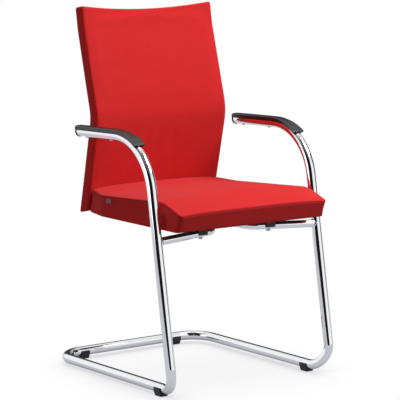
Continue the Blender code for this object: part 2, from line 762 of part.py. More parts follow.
def back_point(x, distance, depth):
    """A point in the back: x across, distance up its centre line, depth behind that line."""
    middle_share = 1 - (x / BACK_KINK_HALF_WIDTH) ** 2
    above_kink = (distance - BACK_KINK_DISTANCE) / (BACK_LENGTH - BACK_KINK_DISTANCE)
    dip = BACK_TOP_DIP * middle_share * smoothstep(above_kink)
    point, normal = back_line(distance - dip)
    return Vector((x, 0, 0)) + point + normal * (depth + back_hollow(x))


def back_front_y(x, z):
    """The y of the back cover's front face, on its straight lower part, at a width and a height."""
    point, normal = back_line(0.0)
    run = Vector((0, -normal.z, normal.y))
    depth = back_hollow(x) - BACK_THICKNESS / 2
    start = point + normal * depth
    return start.y + run.y * (z - start.z) / run.z


# Seat

def seat_half_outline(inset):
    """Left half of the seat's plan, rear to front, pulled in by inset."""
    middle = -SEAT_REAR_HALF_WIDTH / 8
    rear = SEAT_REAR_Y - inset
    front = SEAT_FRONT_Y + inset
    half = SEAT_HALF_WIDTH - inset
    rear_half = SEAT_REAR_HALF_WIDTH - inset
    corners = [Vector((middle, rear, 0)), Vector((-rear_half, rear, 0)), Vector((-half, SEAT_TAPER_Y, 0)),
               Vector((-half, front, 0)), Vector((middle, front, 0))]
    radii = [SEAT_REAR_CORNER_RADIUS, SEAT_TAPER_RADIUS, SEAT_FRONT_CORNER_RADIUS]
    between_counts = [SEAT_EDGE_POINTS, 0, SEAT_SIDE_POINTS, SEAT_EDGE_POINTS]
    arcs = []
    for i, radius in enumerate(radii):
        limited = max(radius - inset, radius / 4)
        arcs.append(corner_arc(corners[i], corners[i + 1], corners[i + 2], limited, SEAT_CORNER_STEPS))
    points = [corners[0]]
    for count, arc in zip(between_counts, arcs):
        points += between(points[-1], arc[0], count) + arc
    points += between(points[-1], corners[-1], between_counts[-1])
    points.append(corners[-1])
    return points


def seat_outline(inset, share=1.0):
    """The whole plan as a closed ring, rear middle first, drawn towards its centre by share."""
    left = seat_half_outline(inset)
    ring = left + [Vector((-point.x, point.y, 0)) for point in reversed(left)]
    centre_y = (SEAT_REAR_Y + SEAT_FRONT_Y) / 2
    return [Vector((p.x * share, centre_y + (p.y - centre_y) * share, 0)) for p in ring]


def seat_top_height(x, y):
    """The crowned top with its front waterfall."""
    along = (SEAT_REAR_Y - y) / (SEAT_REAR_Y - SEAT_CREST_Y)
    height = mix(SEAT_REAR_HEIGHT, SEAT_CREST_HEIGHT, min(max(along, 0.0), 1.0))
    if y < SEAT_CREST_Y:
        fall = (SEAT_CREST_Y - y) / (SEAT_CREST_Y - SEAT_FRONT_Y)
        height -= SEAT_WATERFALL_DROP * fall * fall
    return height + SEAT_CROWN * (1 - (x / SEAT_HALF_WIDTH) ** 2)


def seat_place(x, y, z):
    """Leans the front face under, fits the rear face to the back and pulls the sides in."""
    rise = (z - SEAT_BASE_HEIGHT) / (seat_top_height(x, y) - SEAT_BASE_HEIGHT)
    forward = smoothstep((SEAT_CREST_Y / 2 - y) / (SEAT_CREST_Y / 2 - SEAT_FRONT_Y))
    backward = smoothstep((y - SEAT_TAPER_Y / 2) / (SEAT_REAR_Y - SEAT_TAPER_Y / 2))
    target = back_front_y(x, z) - SEAT_BACK_GAP
    moved = y + SEAT_UNDERCUT * (1 - rise) * forward + (target - SEAT_REAR_Y) * backward
    draw_in = SEAT_SIDE_DRAW_IN * 4 * rise * (1 - rise)
    return Vector((x * (1 - draw_in / SEAT_HALF_WIDTH), moved, z))


def seat_wall_ring(inset, base_height, height_share):
    """A ring round the seat's walls, at a share of their height."""
    low = base_height + SEAT_BASE_EDGE_RADIUS
    ring = []
    for p in seat_outline(inset):
        high = seat_top_height(p.x, p.y) - inset - SEAT_TOP_EDGE_RADIUS
        ring.append(seat_place(p.x, p.y, mix(low, high, height_share)))
    return ring


def seat_rings(inset, base_height, with_hem=False):
    """Rings of the seat's outer skin, pulled in by inset, from its underside to its top."""
    edge = SEAT_TOP_EDGE_RADIUS
    low = SEAT_BASE_EDGE_RADIUS
    rings = []
    if with_hem:
        rings.append([seat_place(p.x, p.y, base_height) for p in seat_outline(COVER_HEM)])
    rings.append([seat_place(p.x, p.y, base_height) for p in seat_outline(inset + low)])
    rings += [seat_wall_ring(inset, base_height, share) for share in (0.0, 0.5, 1.0)]
    arc_share = 1 - math.sqrt(0.5)
    for inset_share, drop_share in ((arc_share, arc_share), (1.0, 0.0)):
        ring = []
        for p in seat_outline(inset + edge * inset_share):
            height = seat_top_height(p.x, p.y) - inset - edge * drop_share
            ring.append(seat_place(p.x, p.y, height))
        rings.append(ring)
    for share in SEAT_TOP_RING_SHARES:
        ring = seat_outline(inset + edge, share)
        rings.append([seat_place(p.x, p.y, seat_top_height(p.x, p.y) - inset) for p in ring])
    return rings


def make_seat_cover():
    """Fabric over the top, down the sides and turned under the board."""
    open_shell("seat_cover", seat_rings(0.0, SEAT_BASE_HEIGHT, True),
               seat_rings(COVER_THICKNESS, SEAT_BASE_HEIGHT + COVER_THICKNESS, True), "red_fabric")


def make_seat_foam():
    rings = seat_rings(COVER_THICKNESS + FOAM_CLEARANCE, BOARD_TOP_HEIGHT + CLEARANCE)
    solid_loft("seat_foam", rings, "foam")


def seat_slab(name, inset, base, top, material):
    """A flat plate to the seat's plan, each face one polygon so that holes cut cleanly."""
    builder = bmesh.new()
    outline = seat_outline(inset)
    rings = [add_ring(builder, [seat_place(p.x, p.y, height) for p in outline]) for height in (base, top)]
    bridge_all(builder, rings)
    builder.faces.new(rings[0])
    builder.faces.new(rings[1])
    return add_object(name, builder, material)


def make_seat_board():
    inset = COVER_INSET + SEAT_BASE_EDGE_RADIUS
    return seat_slab("seat_board", inset, BOARD_BASE_HEIGHT, BOARD_TOP_HEIGHT, "plywood")


def make_seat_underside():
    inset = COVER_HEM + CLEARANCE
    return seat_slab("seat_underside", inset, SEAT_BASE_HEIGHT, SEAT_BASE_HEIGHT + COVER_THICKNESS,
                     "liner_fabric")


def make_seat_tag():
    """A plain tag, flat against the upper half of the left side."""
    middle_ring, upper_ring = (seat_wall_ring(0.0, SEAT_BASE_HEIGHT, share) for share in (0.5, 1.0))
    nearest = min(range(len(middle_ring) // 2), key=lambda i: abs(middle_ring[i].y - TAG_Y))
    low = middle_ring[nearest]
    high = upper_ring[nearest]
    rise = Vector((high.x - low.x, 0, high.z - low.z))
    height = seat_top_height(low.x, TAG_Y) - TAG_DROP
    foot = Vector((low.x, TAG_Y, low.z)) + rise * ((height - low.z) / rise.z)
    outward = Vector((-rise.z, 0, rise.x)).normalized()
    tag = block("seat_tag", Vector((0, 0, 0)), Vector((TAG_THICKNESS, TAG_LENGTH, TAG_HEIGHT)), "tag_metal")
    lean = outward.to_track_quat("X", "Z").to_matrix().to_4x4()
    tag.data.transform(Matrix.Translation(foot + outward * (TAG_THICKNESS / 2 + CLEARANCE)) @ lean)
    round_edges(tag, TAG_EDGE_RADIUS)


# Seat mounting

def make_saddle(name, centre, run, bearer, board, underside):
    """A saddle on the bearer with its bolt and T-nut, and the holes that they need."""
    top = SEAT_BASE_HEIGHT - CLEARANCE
    base = centre.z - SADDLE_DROP
    middle = Vector((centre.x, centre.y, (top + base) / 2))
    flat_run = Vector((run.x, run.y, 0)).normalized()
    along_x = abs(flat_run.x) > abs(flat_run.y)
    plan = (SADDLE_LENGTH, SADDLE_WIDTH) if along_x else (SADDLE_WIDTH, SADDLE_LENGTH)
    saddle = block("seat_saddle_" + name, middle, Vector((*plan, top - base)), "black_plastic")
    round_edges(saddle, SADDLE_EDGE_RADIUS)
    groove_length = SADDLE_LENGTH * 2
    groove_radius = BEARER_RADIUS + CLEARANCE
    groove = turned_solid("bearer_groove_" + name, ((groove_radius, 0), (groove_radius, groove_length)),
                          centre - run * groove_length / 2, run, BEARER_SIDES * 2, "black_steel")
    cut_away(saddle, as_cutter(groove))

    seat = Vector((centre.x, centre.y, centre.z - BEARER_RADIUS - CLEARANCE))
    length = BOARD_TOP_HEIGHT - CLEARANCE - seat.z
    headed_fastener("seat_bolt_" + name, seat, UP, BOLT_HEAD_DIAMETER, BOLT_HEAD_HEIGHT,
                    BOLT_SHANK_DIAMETER, length)
    hole = shank_cutter("hole_seat_bolt_" + name, seat, UP, BOLT_SHANK_DIAMETER, length)
    for item in (bearer, saddle, underside):
        cut_away(item, hole)

    bore = BOLT_SHANK_DIAMETER / 2 + HOLE_CLEARANCE
    barrel = TNUT_BARREL_DIAMETER / 2
    flange = TNUT_FLANGE_DIAMETER / 2
    neck = TNUT_HEIGHT - TNUT_FLANGE_HEIGHT
    nut_base = Vector((centre.x, centre.y, BOARD_TOP_HEIGHT - TNUT_HEIGHT))
    turned_collar("seat_tnut_" + name, ((bore, 0), (barrel, 0), (barrel, neck), (flange, neck),
                                        (flange, TNUT_HEIGHT), (bore, TNUT_HEIGHT)),
                  nut_base, UP, FASTENER_SIDES, "zinc_steel")
    below = CUT_OVERRUN + SEAT_BOARD_THICKNESS - TNUT_HEIGHT
    seat_profile = ((barrel + CLEARANCE, -below), (barrel + CLEARANCE, neck - CLEARANCE),
                    (flange + CLEARANCE, neck - CLEARANCE), (flange + CLEARANCE, TNUT_HEIGHT + CUT_OVERRUN))
    pocket = turned_solid("tnut_pocket_" + name, seat_profile, nut_base, UP, FASTENER_SIDES, "black_steel")
    cut_away(board, as_cutter(pocket))


def make_saddles(bearers, board, underside):
    for label, side in SIDES.items():
        centre, run = bearer_at_front_saddle(side)
        make_saddle("front_" + label, centre, run, bearers[label], board, underside)
        centre, run = bearer_at_rear_saddle(side)
        make_saddle("rear_" + label, centre, run, bearers[label], board, underside)


# Back pieces

def back_cover_ring(distance, inset, shear=0.0):
    """Ring of the cover's section: front face left to right, then rear face right to left."""
    half = back_half_width(distance) - inset
    deep = BACK_THICKNESS / 2 - inset
    radius = BACK_SIDE_RADIUS - inset
    front = []
    for i in range(BACK_CORNER_STEPS + 1):
        angle = math.pi / 2 * i / BACK_CORNER_STEPS
        front.append((-half + radius - radius * math.cos(angle), -deep + radius - radius * math.sin(angle)))
    flat = half - radius
    front += [(flat * share, -deep) for share in BACK_WIDTH_SHARES]
    front += [(-x, depth) for x, depth in front[BACK_CORNER_STEPS::-1]]
    rear = [(x, -depth) for x, depth in reversed(front)]
    ring = []
    for x, depth in front + rear:
        lift = shear * (BACK_THICKNESS / 2 - depth) / BACK_THICKNESS
        ring.append(back_point(x, distance + lift, depth))
    return ring


def back_stations():
    """Distances up the back for the cover's rings, close together round the kink."""
    low = BACK_KINK_DISTANCE - BACK_KINK_RADIUS / 2
    high = BACK_KINK_DISTANCE + BACK_KINK_RADIUS / 2
    last = BACK_LENGTH - BACK_TOP_EDGE_RADIUS
    stations = [BACK_BASE_RISE * 2] + between(BACK_BASE_RISE * 2, low, BACK_LOWER_STATIONS - 2) + [low]
    stations += between(low, high, 3) + [high]
    stations += between(high, last, BACK_UPPER_STATIONS - 2) + [last]
    return stations


def back_cover_rings(inset):
    rings = [back_cover_ring(0.0, inset, BACK_BASE_RISE)]
    rings += [back_cover_ring(distance, inset) for distance in back_stations()]
    rounding = BACK_TOP_EDGE_RADIUS
    arc_share = math.sqrt(0.5)
    for up_share, inset_share in ((arc_share, 1 - arc_share), (1.0, BACK_TOP_FLAT_SHARE)):
        distance = BACK_LENGTH - rounding + (rounding - inset) * up_share
        ring = back_cover_ring(distance, inset)
        middle = back_cover_ring_middle(ring)
        shrink = (rounding - inset) * inset_share
        rings.append([draw_towards(point, centre, shrink) for point, centre in zip(ring, middle)])
    return rings


def back_cover_ring_middle(ring):
    """For each point of a ring, the middle between it and the point opposite."""
    opposite = ring[::-1]
    return [(point + other) / 2 for point, other in zip(ring, opposite)]


def draw_towards(point, centre, amount):
    way = centre - point
    return point + way.normalized() * min(amount, way.length / 2)


def make_back_cover():
    """A fabric sock over foam and shell, open at its foot where the brackets go in."""
    open_shell("back_cover", back_cover_rings(0.0), back_cover_rings(COVER_THICKNESS), "red_fabric")


def back_layer(name, front_depth, rear_depth, chamfer_front, chamfer_rear, material):
    """A slab inside the cover that follows its curves, with its outer corners cut off."""
    rings = []
    low = LAYER_BASE_INSET
    high = BACK_LENGTH - LAYER_TOP_INSET
    inner = [d for d in back_stations() if low < d < high]
    for distance in [low] + inner + [high]:
        half = back_half_width(distance) - COVER_INSET
        flat = back_half_width(distance) - BACK_SIDE_RADIUS
        front = [(-half, front_depth + chamfer_front), (-half + chamfer_front, front_depth)]
        front += [(flat * share, front_depth) for share in BACK_WIDTH_SHARES]
        front += [(half - chamfer_front, front_depth), (half, front_depth + chamfer_front)]
        rear = [(half, rear_depth - chamfer_rear), (half - chamfer_rear, rear_depth)]
        rear += [(-flat * share, rear_depth) for share in BACK_WIDTH_SHARES]
        rear += [(-half + chamfer_rear, rear_depth), (-half, rear_depth - chamfer_rear)]
        rings.append([back_point(x, distance, depth) for x, depth in front + rear])
    return solid_loft(name, rings, material)


def make_back_layers():
    face = BACK_THICKNESS / 2 - COVER_INSET
    corner = BACK_SIDE_RADIUS
    small = CLEARANCE
    shell_front = SHELL_REAR_DEPTH - SHELL_THICKNESS
    back_layer("back_foam_front", -face, shell_front - CLEARANCE, corner, small, "foam")
    shell = back_layer("back_shell", shell_front, SHELL_REAR_DEPTH, small, small, "plywood")
    rear_foam = back_layer("back_foam_rear", SHELL_REAR_DEPTH + CLEARANCE, face, small, corner, "foam")
    return shell, rear_foam


# Brackets

def bracket_line():
    """The bracket's centre line in the middle plane: under the seat, then up inside the back."""
    base, normal = back_line(0.0)
    run = Vector((0, -normal.z, normal.y))
    inner_edge = BRACKET_X - BRACKET_WIDTH / 2
    depth = back_hollow(inner_edge) + SHELL_REAR_DEPTH + CLEARANCE + BRACKET_THICKNESS / 2
    foot = base + normal * depth
    corner = foot + run * ((BRACKET_HEIGHT - foot.z) / run.z)
    front = Vector((0, BRACKET_FRONT_Y, BRACKET_HEIGHT))
    top = corner + run * BRACKET_RISE
    return front, corner, top, run, normal


def make_bracket(name, side, grow=0.0):
    """A bent flat bar; grow makes it thicker and wider all round, for its pocket."""
    front, corner, top, run, _ = bracket_line()
    if grow:
        front = front - Vector((0, grow, 0))
        top = top + run * grow
    line = [front] + corner_arc(front, corner, top, BRACKET_BEND_RADIUS, BRACKET_BEND_STEPS) + [top]
    half = BRACKET_THICKNESS / 2 + grow
    above = []
    below = []
    for i, point in enumerate(line):
        way = (line[min(i + 1, len(line) - 1)] - line[max(i - 1, 0)]).normalized()
        above.append(point - rearward(way) * half)
        below.append(point + rearward(way) * half)
    width = BRACKET_WIDTH + grow * 2
    sides = [Vector((side * BRACKET_X + half_width, 0, 0)) for half_width in (-width / 2, width / 2)]
    return solid_loft(name, [[start + point for point in above + below[::-1]] for start in sides],
                      "black_steel")


def make_brackets(board, underside, shell, rear_foam):
    _, _, top, run, normal = bracket_line()
    for label, side in SIDES.items():
        bracket = make_bracket("back_bracket_" + label, side)
        pocket = as_cutter(make_bracket("bracket_pocket_" + label, side, BRACKET_POCKET_GAP))
        cut_away(rear_foam, pocket, use_self=True)
        across = Vector((side * BRACKET_X, 0, 0))

        under = BRACKET_HEIGHT - BRACKET_THICKNESS / 2 - CLEARANCE
        length = BOARD_BASE_HEIGHT + BOARD_SCREW_GRIP - under
        for place, distance in (("front", BRACKET_SEAT_SCREW_INSET),
                                ("rear", BRACKET_SEAT_SCREW_INSET + BRACKET_SEAT_SCREW_PITCH)):
            seat = across + Vector((0, BRACKET_FRONT_Y + distance, under))
            name = "seat_screw_" + label + "_" + place
            make_screw(name, seat, UP, length)
            hole = shank_cutter("hole_" + name, seat, UP, SCREW_SHANK_DIAMETER, length)
            for item in (bracket, underside, board):
                cut_away(item, hole)

        step_back = BRACKET_THICKNESS / 2 + CLEARANCE
        hollow_gap = back_hollow(BRACKET_X - BRACKET_WIDTH / 2) - back_hollow(BRACKET_X)
        length = BRACKET_THICKNESS + CLEARANCE * 2 + hollow_gap + SHELL_SCREW_GRIP
        for place, distance in (("upper", BRACKET_BACK_SCREW_INSET),
                                ("lower", BRACKET_BACK_SCREW_INSET + BRACKET_BACK_SCREW_PITCH)):
            seat = across + top - run * distance + normal * step_back
            name = "back_screw_" + label + "_" + place
            make_screw(name, seat, -normal, length)
            hole = shank_cutter("hole_" + name, seat, -normal, SCREW_SHANK_DIAMETER, length)
            for item in (bracket, shell):
                cut_away(item, hole)


# Assembly

def stand_at_origin():
    """Centres the whole chair over the origin, front to back."""
    bpy.context.view_layer.update()
    pieces = [item for item in bpy.context.scene.objects if not item.hide_render]
    ends = []
    for item in pieces:
        ends += [(item.matrix_world @ vert.co).y for vert in item.data.vertices]
    shift = (min(ends) + max(ends)) / 2
    for item in bpy.context.scene.objects:
        item.location.y -= shift
    print("moved by", round(-shift, 6), "m to stand over the origin")


def main():
    clear_scene()
    tubes = {label: make_frame_tube(label, side) for label, side in SIDES.items()}
    make_joint_sleeve()
    bearers = {label: make_bearer(label, side) for label, side in SIDES.items()}
    for label, side in SIDES.items():
        make_bearer_plug(label, side)
    make_glides()
    for label, side in SIDES.items():
        pad = make_armpad(label, side)
        fasten_armpad(label, side, pad, tubes[label])
    make_seat_cover()
    make_seat_foam()
    board = make_seat_board()
    underside = make_seat_underside()
    make_seat_tag()
    make_saddles(bearers, board, underside)
    make_back_cover()
    shell, rear_foam = make_back_layers()
    make_brackets(board, underside, shell, rear_foam)
    stand_at_origin()


main()
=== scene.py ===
# %% [markdown]
# # A cantilever conference chair
#
# The chair stands on one bent chromed tube. Two arms run forward, curve down into the legs, turn
# under into runners and meet in a crossbar behind. A thick red seat and a kinked red back hang on
# two thinner tubes welded to the legs, and black moulded pads cover the arms.
#
# The engineering model already has every part in its place, so this lesson only dresses it. Small
# parts keep their own shape and get a better finish. What the eye rests on, the tube, the
# upholstery and the pads, is modelled again with more care, around the same lines.

import math

import bmesh
import bpy
from mathutils import Matrix, Vector
from mathutils.kdtree import KDTree


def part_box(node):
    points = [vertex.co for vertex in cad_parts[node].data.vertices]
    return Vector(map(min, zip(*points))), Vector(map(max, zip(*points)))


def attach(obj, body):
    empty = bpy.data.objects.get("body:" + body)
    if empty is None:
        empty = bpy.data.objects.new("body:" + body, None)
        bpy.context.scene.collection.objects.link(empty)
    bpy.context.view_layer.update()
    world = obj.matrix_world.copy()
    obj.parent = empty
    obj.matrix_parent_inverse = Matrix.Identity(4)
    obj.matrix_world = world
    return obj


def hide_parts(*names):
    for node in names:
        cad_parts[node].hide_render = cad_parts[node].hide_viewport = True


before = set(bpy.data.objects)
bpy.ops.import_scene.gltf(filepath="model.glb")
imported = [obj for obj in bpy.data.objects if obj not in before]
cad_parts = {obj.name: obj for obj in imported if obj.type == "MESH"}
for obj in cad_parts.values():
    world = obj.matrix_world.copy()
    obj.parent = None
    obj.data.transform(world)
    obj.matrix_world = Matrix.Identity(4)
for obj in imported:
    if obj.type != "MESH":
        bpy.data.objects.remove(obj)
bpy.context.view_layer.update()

# %% [markdown]
# ## Camera
#
# The chair is seen from its front left, slightly from above, through a long lens, so that its
# parallel lines stay nearly parallel. The place, the turn and the lens come from measuring the
# runners, the arms and the seat in the picture and solving for the one camera that fits them all.

# %% Place the camera
CAMERA_PLACE = Vector((-3.2054, -4.3457, 1.2286))
CAMERA_TURN = (math.radians(81.79), 0.0, math.radians(-36.75))
CAMERA_LENS = 189.16
CAMERA_SENSOR = 36.0
CAMERA_SHIFT = (0.00025, -0.003)

bpy.ops.object.camera_add(location=CAMERA_PLACE, rotation=CAMERA_TURN)
camera = bpy.context.object
camera.name = "studio_camera"
camera.data.lens = CAMERA_LENS
camera.data.sensor_width = CAMERA_SENSOR
camera.data.shift_x, camera.data.shift_y = CAMERA_SHIFT
camera.data.clip_end = 60.0
bpy.context.scene.camera = camera
bpy.context.scene.view_settings.view_transform = "Standard"
print("camera distance:", round(CAMERA_PLACE.length, 2))

# %% [markdown]
# ## Selecting and editing
#
# An operator works on everything that is selected, so each step starts by clearing the selection.
# These few helpers open a piece for editing, turn its faces outwards, apply its modifiers, and give
# a finished piece its name and its material.

# %% Editing helpers
SIDES = (("left", -1), ("right", 1))


def clear_selection():
    if bpy.context.object and bpy.context.object.mode != "OBJECT":
        bpy.ops.object.mode_set(mode="OBJECT")
    bpy.ops.object.select_all(action="DESELECT")


def make_active(piece):
    clear_selection()
    piece.select_set(True)
    bpy.context.view_layer.objects.active = piece


def edit(piece, mode="VERT"):
    """Opens a piece in edit mode with everything selected."""
    make_active(piece)
    bpy.ops.object.mode_set(mode="EDIT")
    bpy.ops.mesh.select_mode(type=mode)
    bpy.ops.mesh.select_all(action="SELECT")


def leave_edit():
    bpy.ops.object.mode_set(mode="OBJECT")


def face_outwards(piece):
    edit(piece)
    bpy.ops.mesh.normals_make_consistent(inside=False)
    leave_edit()


def add_piece(name, mesh):
    piece = bpy.data.objects.new(name, mesh)
    bpy.context.scene.collection.objects.link(piece)
    return piece


def apply_all(piece):
    make_active(piece)
    for modifier in list(piece.modifiers):
        bpy.ops.object.modifier_apply(modifier=modifier.name)


def smooth(piece, angle=40.0):
    make_active(piece)
    bpy.ops.object.shade_smooth_by_angle(angle=math.radians(angle))


def dress(piece, name, finish):
    """Names a finished piece, gives it its material and fixes it to the chair."""
    piece.name = name
    piece.data.name = name
    piece.data.materials.clear()
    piece.data.materials.append(finish)
    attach(piece, "root")
    print(name, len(piece.data.vertices), "vertices")


def mix(first, last, share):
    return first + (last - first) * share


def smoothstep(value):
    value = min(1.0, max(0.0, value))
    return value * value * (3 - 2 * value)


# %% [markdown]
# ## Finishes
#
# Every finish starts as one Principled shader. What makes it real is small: a little unevenness in
# the colour, a little in the gloss, and a fine relief. Each of these comes from a noise texture that
# reads the piece's own coordinates, in metres, so a grain keeps its true size. The same helpers wire
# up the floor, the lamps and the world, which have node trees too.

# %% Node helpers
NOISE_LOW, NOISE_HIGH = 0.25, 0.75     # nearly all of a noise texture lies in this range


def put(owner, socket, value):
    """Gives a socket its value, or links it when the value is another node's socket."""
    if isinstance(value, bpy.types.NodeSocket):
        owner.node_tree.links.new(value, socket)
    else:
        socket.default_value = value


def feed(owner, node, *given, **named):
    """Fills a node's sockets, in their order or by name."""
    for socket, value in zip(node.inputs, given):
        put(owner, socket, value)
    for name, value in named.items():
        put(owner, node.inputs[name.replace("_", " ")], value)
    return node


def add_node(owner, kind, *given, **named):
    return feed(owner, owner.node_tree.nodes.new(kind), *given, **named)


def add_mix(owner, kind, factor, first, second):
    """Mixes two numbers (kind FLOAT) or two colours (kind RGBA)."""
    node = add_node(owner, "ShaderNodeMix")
    node.data_type = kind
    wanted = "RGBA" if kind == "RGBA" else "VALUE"
    ends = [socket for socket in node.inputs if socket.type == wanted][-2:]
    put(owner, node.inputs["Factor"], factor)
    put(owner, ends[0], first)
    put(owner, ends[1], second)
    return [socket for socket in node.outputs if socket.type == wanted][0]


def add_ramp(owner, value, stops):
    """Colours along a value, from pairs of a position and a colour."""
    node = add_node(owner, "ShaderNodeValToRGB", value)
    elements = node.color_ramp.elements
    for i, (position, colour) in enumerate(stops):
        stop = elements[i] if i < 2 else elements.new(position)
        stop.position = position
        stop.color = (*colour, 1.0)
    return node.outputs["Color"]


def add_dot(owner, source, way):
    """How far a place or a direction reaches along a way."""
    node = add_node(owner, "ShaderNodeVectorMath", source, way)
    node.operation = "DOT_PRODUCT"
    return node.outputs["Value"]


def by_ray(owner, plain, mirrored, seen):
    """One shader gives the light, another is what mirrors show, a third is what the camera sees."""
    path = add_node(owner, "ShaderNodeLightPath").outputs
    unseen = add_node(owner, "ShaderNodeMixShader", path["Is Glossy Ray"], plain, mirrored)
    whole = add_node(owner, "ShaderNodeMixShader", path["Is Camera Ray"], unseen.outputs["Shader"], seen)
    return whole.outputs["Shader"]


# %% Finish helpers
def shader_of(material):
    return material.node_tree.nodes["Principled BSDF"]


def start_finish(name, colour, metallic, roughness, **named):
    material = bpy.data.materials.new(name)
    material.use_nodes = True
    feed(material, shader_of(material), Base_Color=(*colour, 1.0), Metallic=metallic,
         Roughness=roughness, **named)
    return material


def place_source(owner, kind="Object"):
    """Where a texture is read: Object for solid grain, UV for cloth, Generated for the world."""
    return add_node(owner, "ShaderNodeTexCoord").outputs[kind]


def noise(material, source, scale, detail, stretch=(1.0, 1.0, 1.0)):
    place = add_node(material, "ShaderNodeMapping", Vector=source, Scale=stretch).outputs["Vector"]
    return add_node(material, "ShaderNodeTexNoise", Vector=place, Scale=scale, Detail=detail).outputs["Fac"]


def spread(material, pattern, low, high):
    """Turns a noise pattern into a range of values."""
    node = add_node(material, "ShaderNodeMapRange", pattern, NOISE_LOW, NOISE_HIGH, low, high)
    return node.outputs["Result"]


def add_relief(material, pattern, depth, strength=1.0):
    """Bump of a true depth in metres."""
    bump = add_node(material, "ShaderNodeBump", Strength=strength, Distance=depth, Height=pattern)
    feed(material, shader_of(material), Normal=bump.outputs["Normal"])
    return bump


def make_finish(name, colour, metallic, roughness, tint=None, gloss=None, relief=None):
    """Tint and gloss are a grain with its low and high value, relief is a grain, a depth and
    perhaps a strength. A grain is a noise's scale and detail, and perhaps how it is stretched."""
    material = start_finish(name, colour, metallic, roughness)
    source = place_source(material)
    shader = shader_of(material)
    if tint:
        grain, low, high = tint
        colours = add_mix(material, "RGBA", noise(material, source, *grain), (*low, 1.0), (*high, 1.0))
        feed(material, shader, Base_Color=colours)
    if gloss:
        grain, low, high = gloss
        feed(material, shader, Roughness=spread(material, noise(material, source, *grain), low, high))
    if relief:
        grain, *depth_and_strength = relief
        add_relief(material, noise(material, source, *grain), *depth_and_strength)
    return material


# %% [markdown]
# ### Chrome, zinc and black steel
#
# Bright chrome is a mirror: nearly no colour of its own, and what shows is the room. The plate is
# hard and polished, so the roughness is tiny, with a faint cloudiness from handling. The screws are
# zinc plated with a fine spangle, and the brackets have the orange peel of a powder coat.

# %% Metals
chrome = make_finish("bright_chrome", (0.86, 0.87, 0.885), 1.0, 0.05,
                     gloss=((26.0, 4.0), 0.030, 0.065), relief=((9.0, 2.0), 0.00004, 0.4))
zinc = make_finish("zinc_plate", (0.55, 0.56, 0.58), 1.0, 0.34,
                   tint=((900.0, 2.0), (0.47, 0.475, 0.48), (0.66, 0.665, 0.68)),
                   gloss=((300.0, 3.0), 0.26, 0.42), relief=((900.0, 2.0), 0.00003))
black_steel = make_finish("black_powder_coat", (0.02, 0.02, 0.021), 0.0, 0.48,
                          tint=((60.0, 3.0), (0.016, 0.016, 0.017), (0.026, 0.026, 0.028)),
                          relief=((1400.0, 1.0), 0.00006))
print("metals made")

# %% [markdown]
# ### Moulded plastic
#
# The pads and glides are moulded. The pads have a fine satin grain that spreads the light into a
# soft grey sheen, and the glides are plainer, duller and a little dusty.

# %% Plastics
pad_plastic = make_finish("satin_pad_plastic", (0.014, 0.015, 0.016), 0.0, 0.32,
                          tint=((90.0, 4.0), (0.011, 0.012, 0.013), (0.018, 0.019, 0.020)),
                          gloss=((160.0, 3.0), 0.26, 0.38), relief=((2600.0, 1.0), 0.00005))
glide_plastic = make_finish("matt_black_plastic", (0.015, 0.015, 0.016), 0.0, 0.5,
                            tint=((120.0, 5.0), (0.012, 0.012, 0.013), (0.022, 0.022, 0.023)),
                            gloss=((120.0, 5.0), 0.42, 0.60), relief=((1800.0, 2.0), 0.00006))
print("plastics made")

# %% [markdown]
# ### Finishes inside
#
# The board, the shell and the foam are hidden, but they are there if the chair is taken apart. The
# small plate on the seat's side is bare satin metal.

# %% Wood, foam and the plain tag
plywood = make_finish("beech_plywood", (0.56, 0.40, 0.23), 0.0, 0.6,
                      tint=((34.0, 6.0, (1.0, 0.12, 9.0)), (0.46, 0.31, 0.17), (0.66, 0.49, 0.30)),
                      relief=((34.0, 6.0, (1.0, 0.12, 9.0)), 0.00015))
foam = make_finish("seat_foam", (0.80, 0.74, 0.55), 0.0, 0.95,
                   tint=((1500.0, 2.0), (0.70, 0.64, 0.46), (0.86, 0.80, 0.62)),
                   relief=((1500.0, 2.0), 0.0004))
tag_metal = make_finish("satin_tag", (0.16, 0.16, 0.175), 0.6, 0.34,
                        tint=((700.0, 3.0, (1.0, 0.05, 1.0)), (0.05, 0.05, 0.055), (0.12, 0.12, 0.13)),
                        gloss=((700.0, 3.0, (1.0, 0.05, 1.0)), 0.26, 0.42))
print("inside finishes made")

# %% [markdown]
# ### Upholstery cloth
#
# The cloth is a fine flat weave in one bright red. Warp and weft cross a little over every
# millimetre, and the yarn is uneven, so the red is faintly mottled. The weave is drawn on a UV map
# that is in metres, because cloth follows the surface and doesn't pass through it. Where a vertex
# is marked as lying on a seam, the cloth is dented, and its red is darkened with painted shade for
# the crease.

# %% Weave
YARN_PITCH = 0.0013
YARN_RELIEF = 0.00012
YARN_STRENGTH = 0.7
WAVE_PERIOD = 2 * math.pi / 20      # of a wave texture at scale 1
SLUB_SCALE = 420.0                  # thicker and thinner places along a yarn
CLOUD_SCALE = 38.0
CLOUD_SHARE = 0.45
CREASE_PAINTED_SHADE = 0.66
CREASE_DEPTH = 0.0009


def yarns(material, source, along):
    wave = add_node(material, "ShaderNodeTexWave", Vector=source, Scale=WAVE_PERIOD / YARN_PITCH,
                    Distortion=0.6, Detail=1.0)
    wave.bands_direction = along
    return wave.outputs["Fac"]


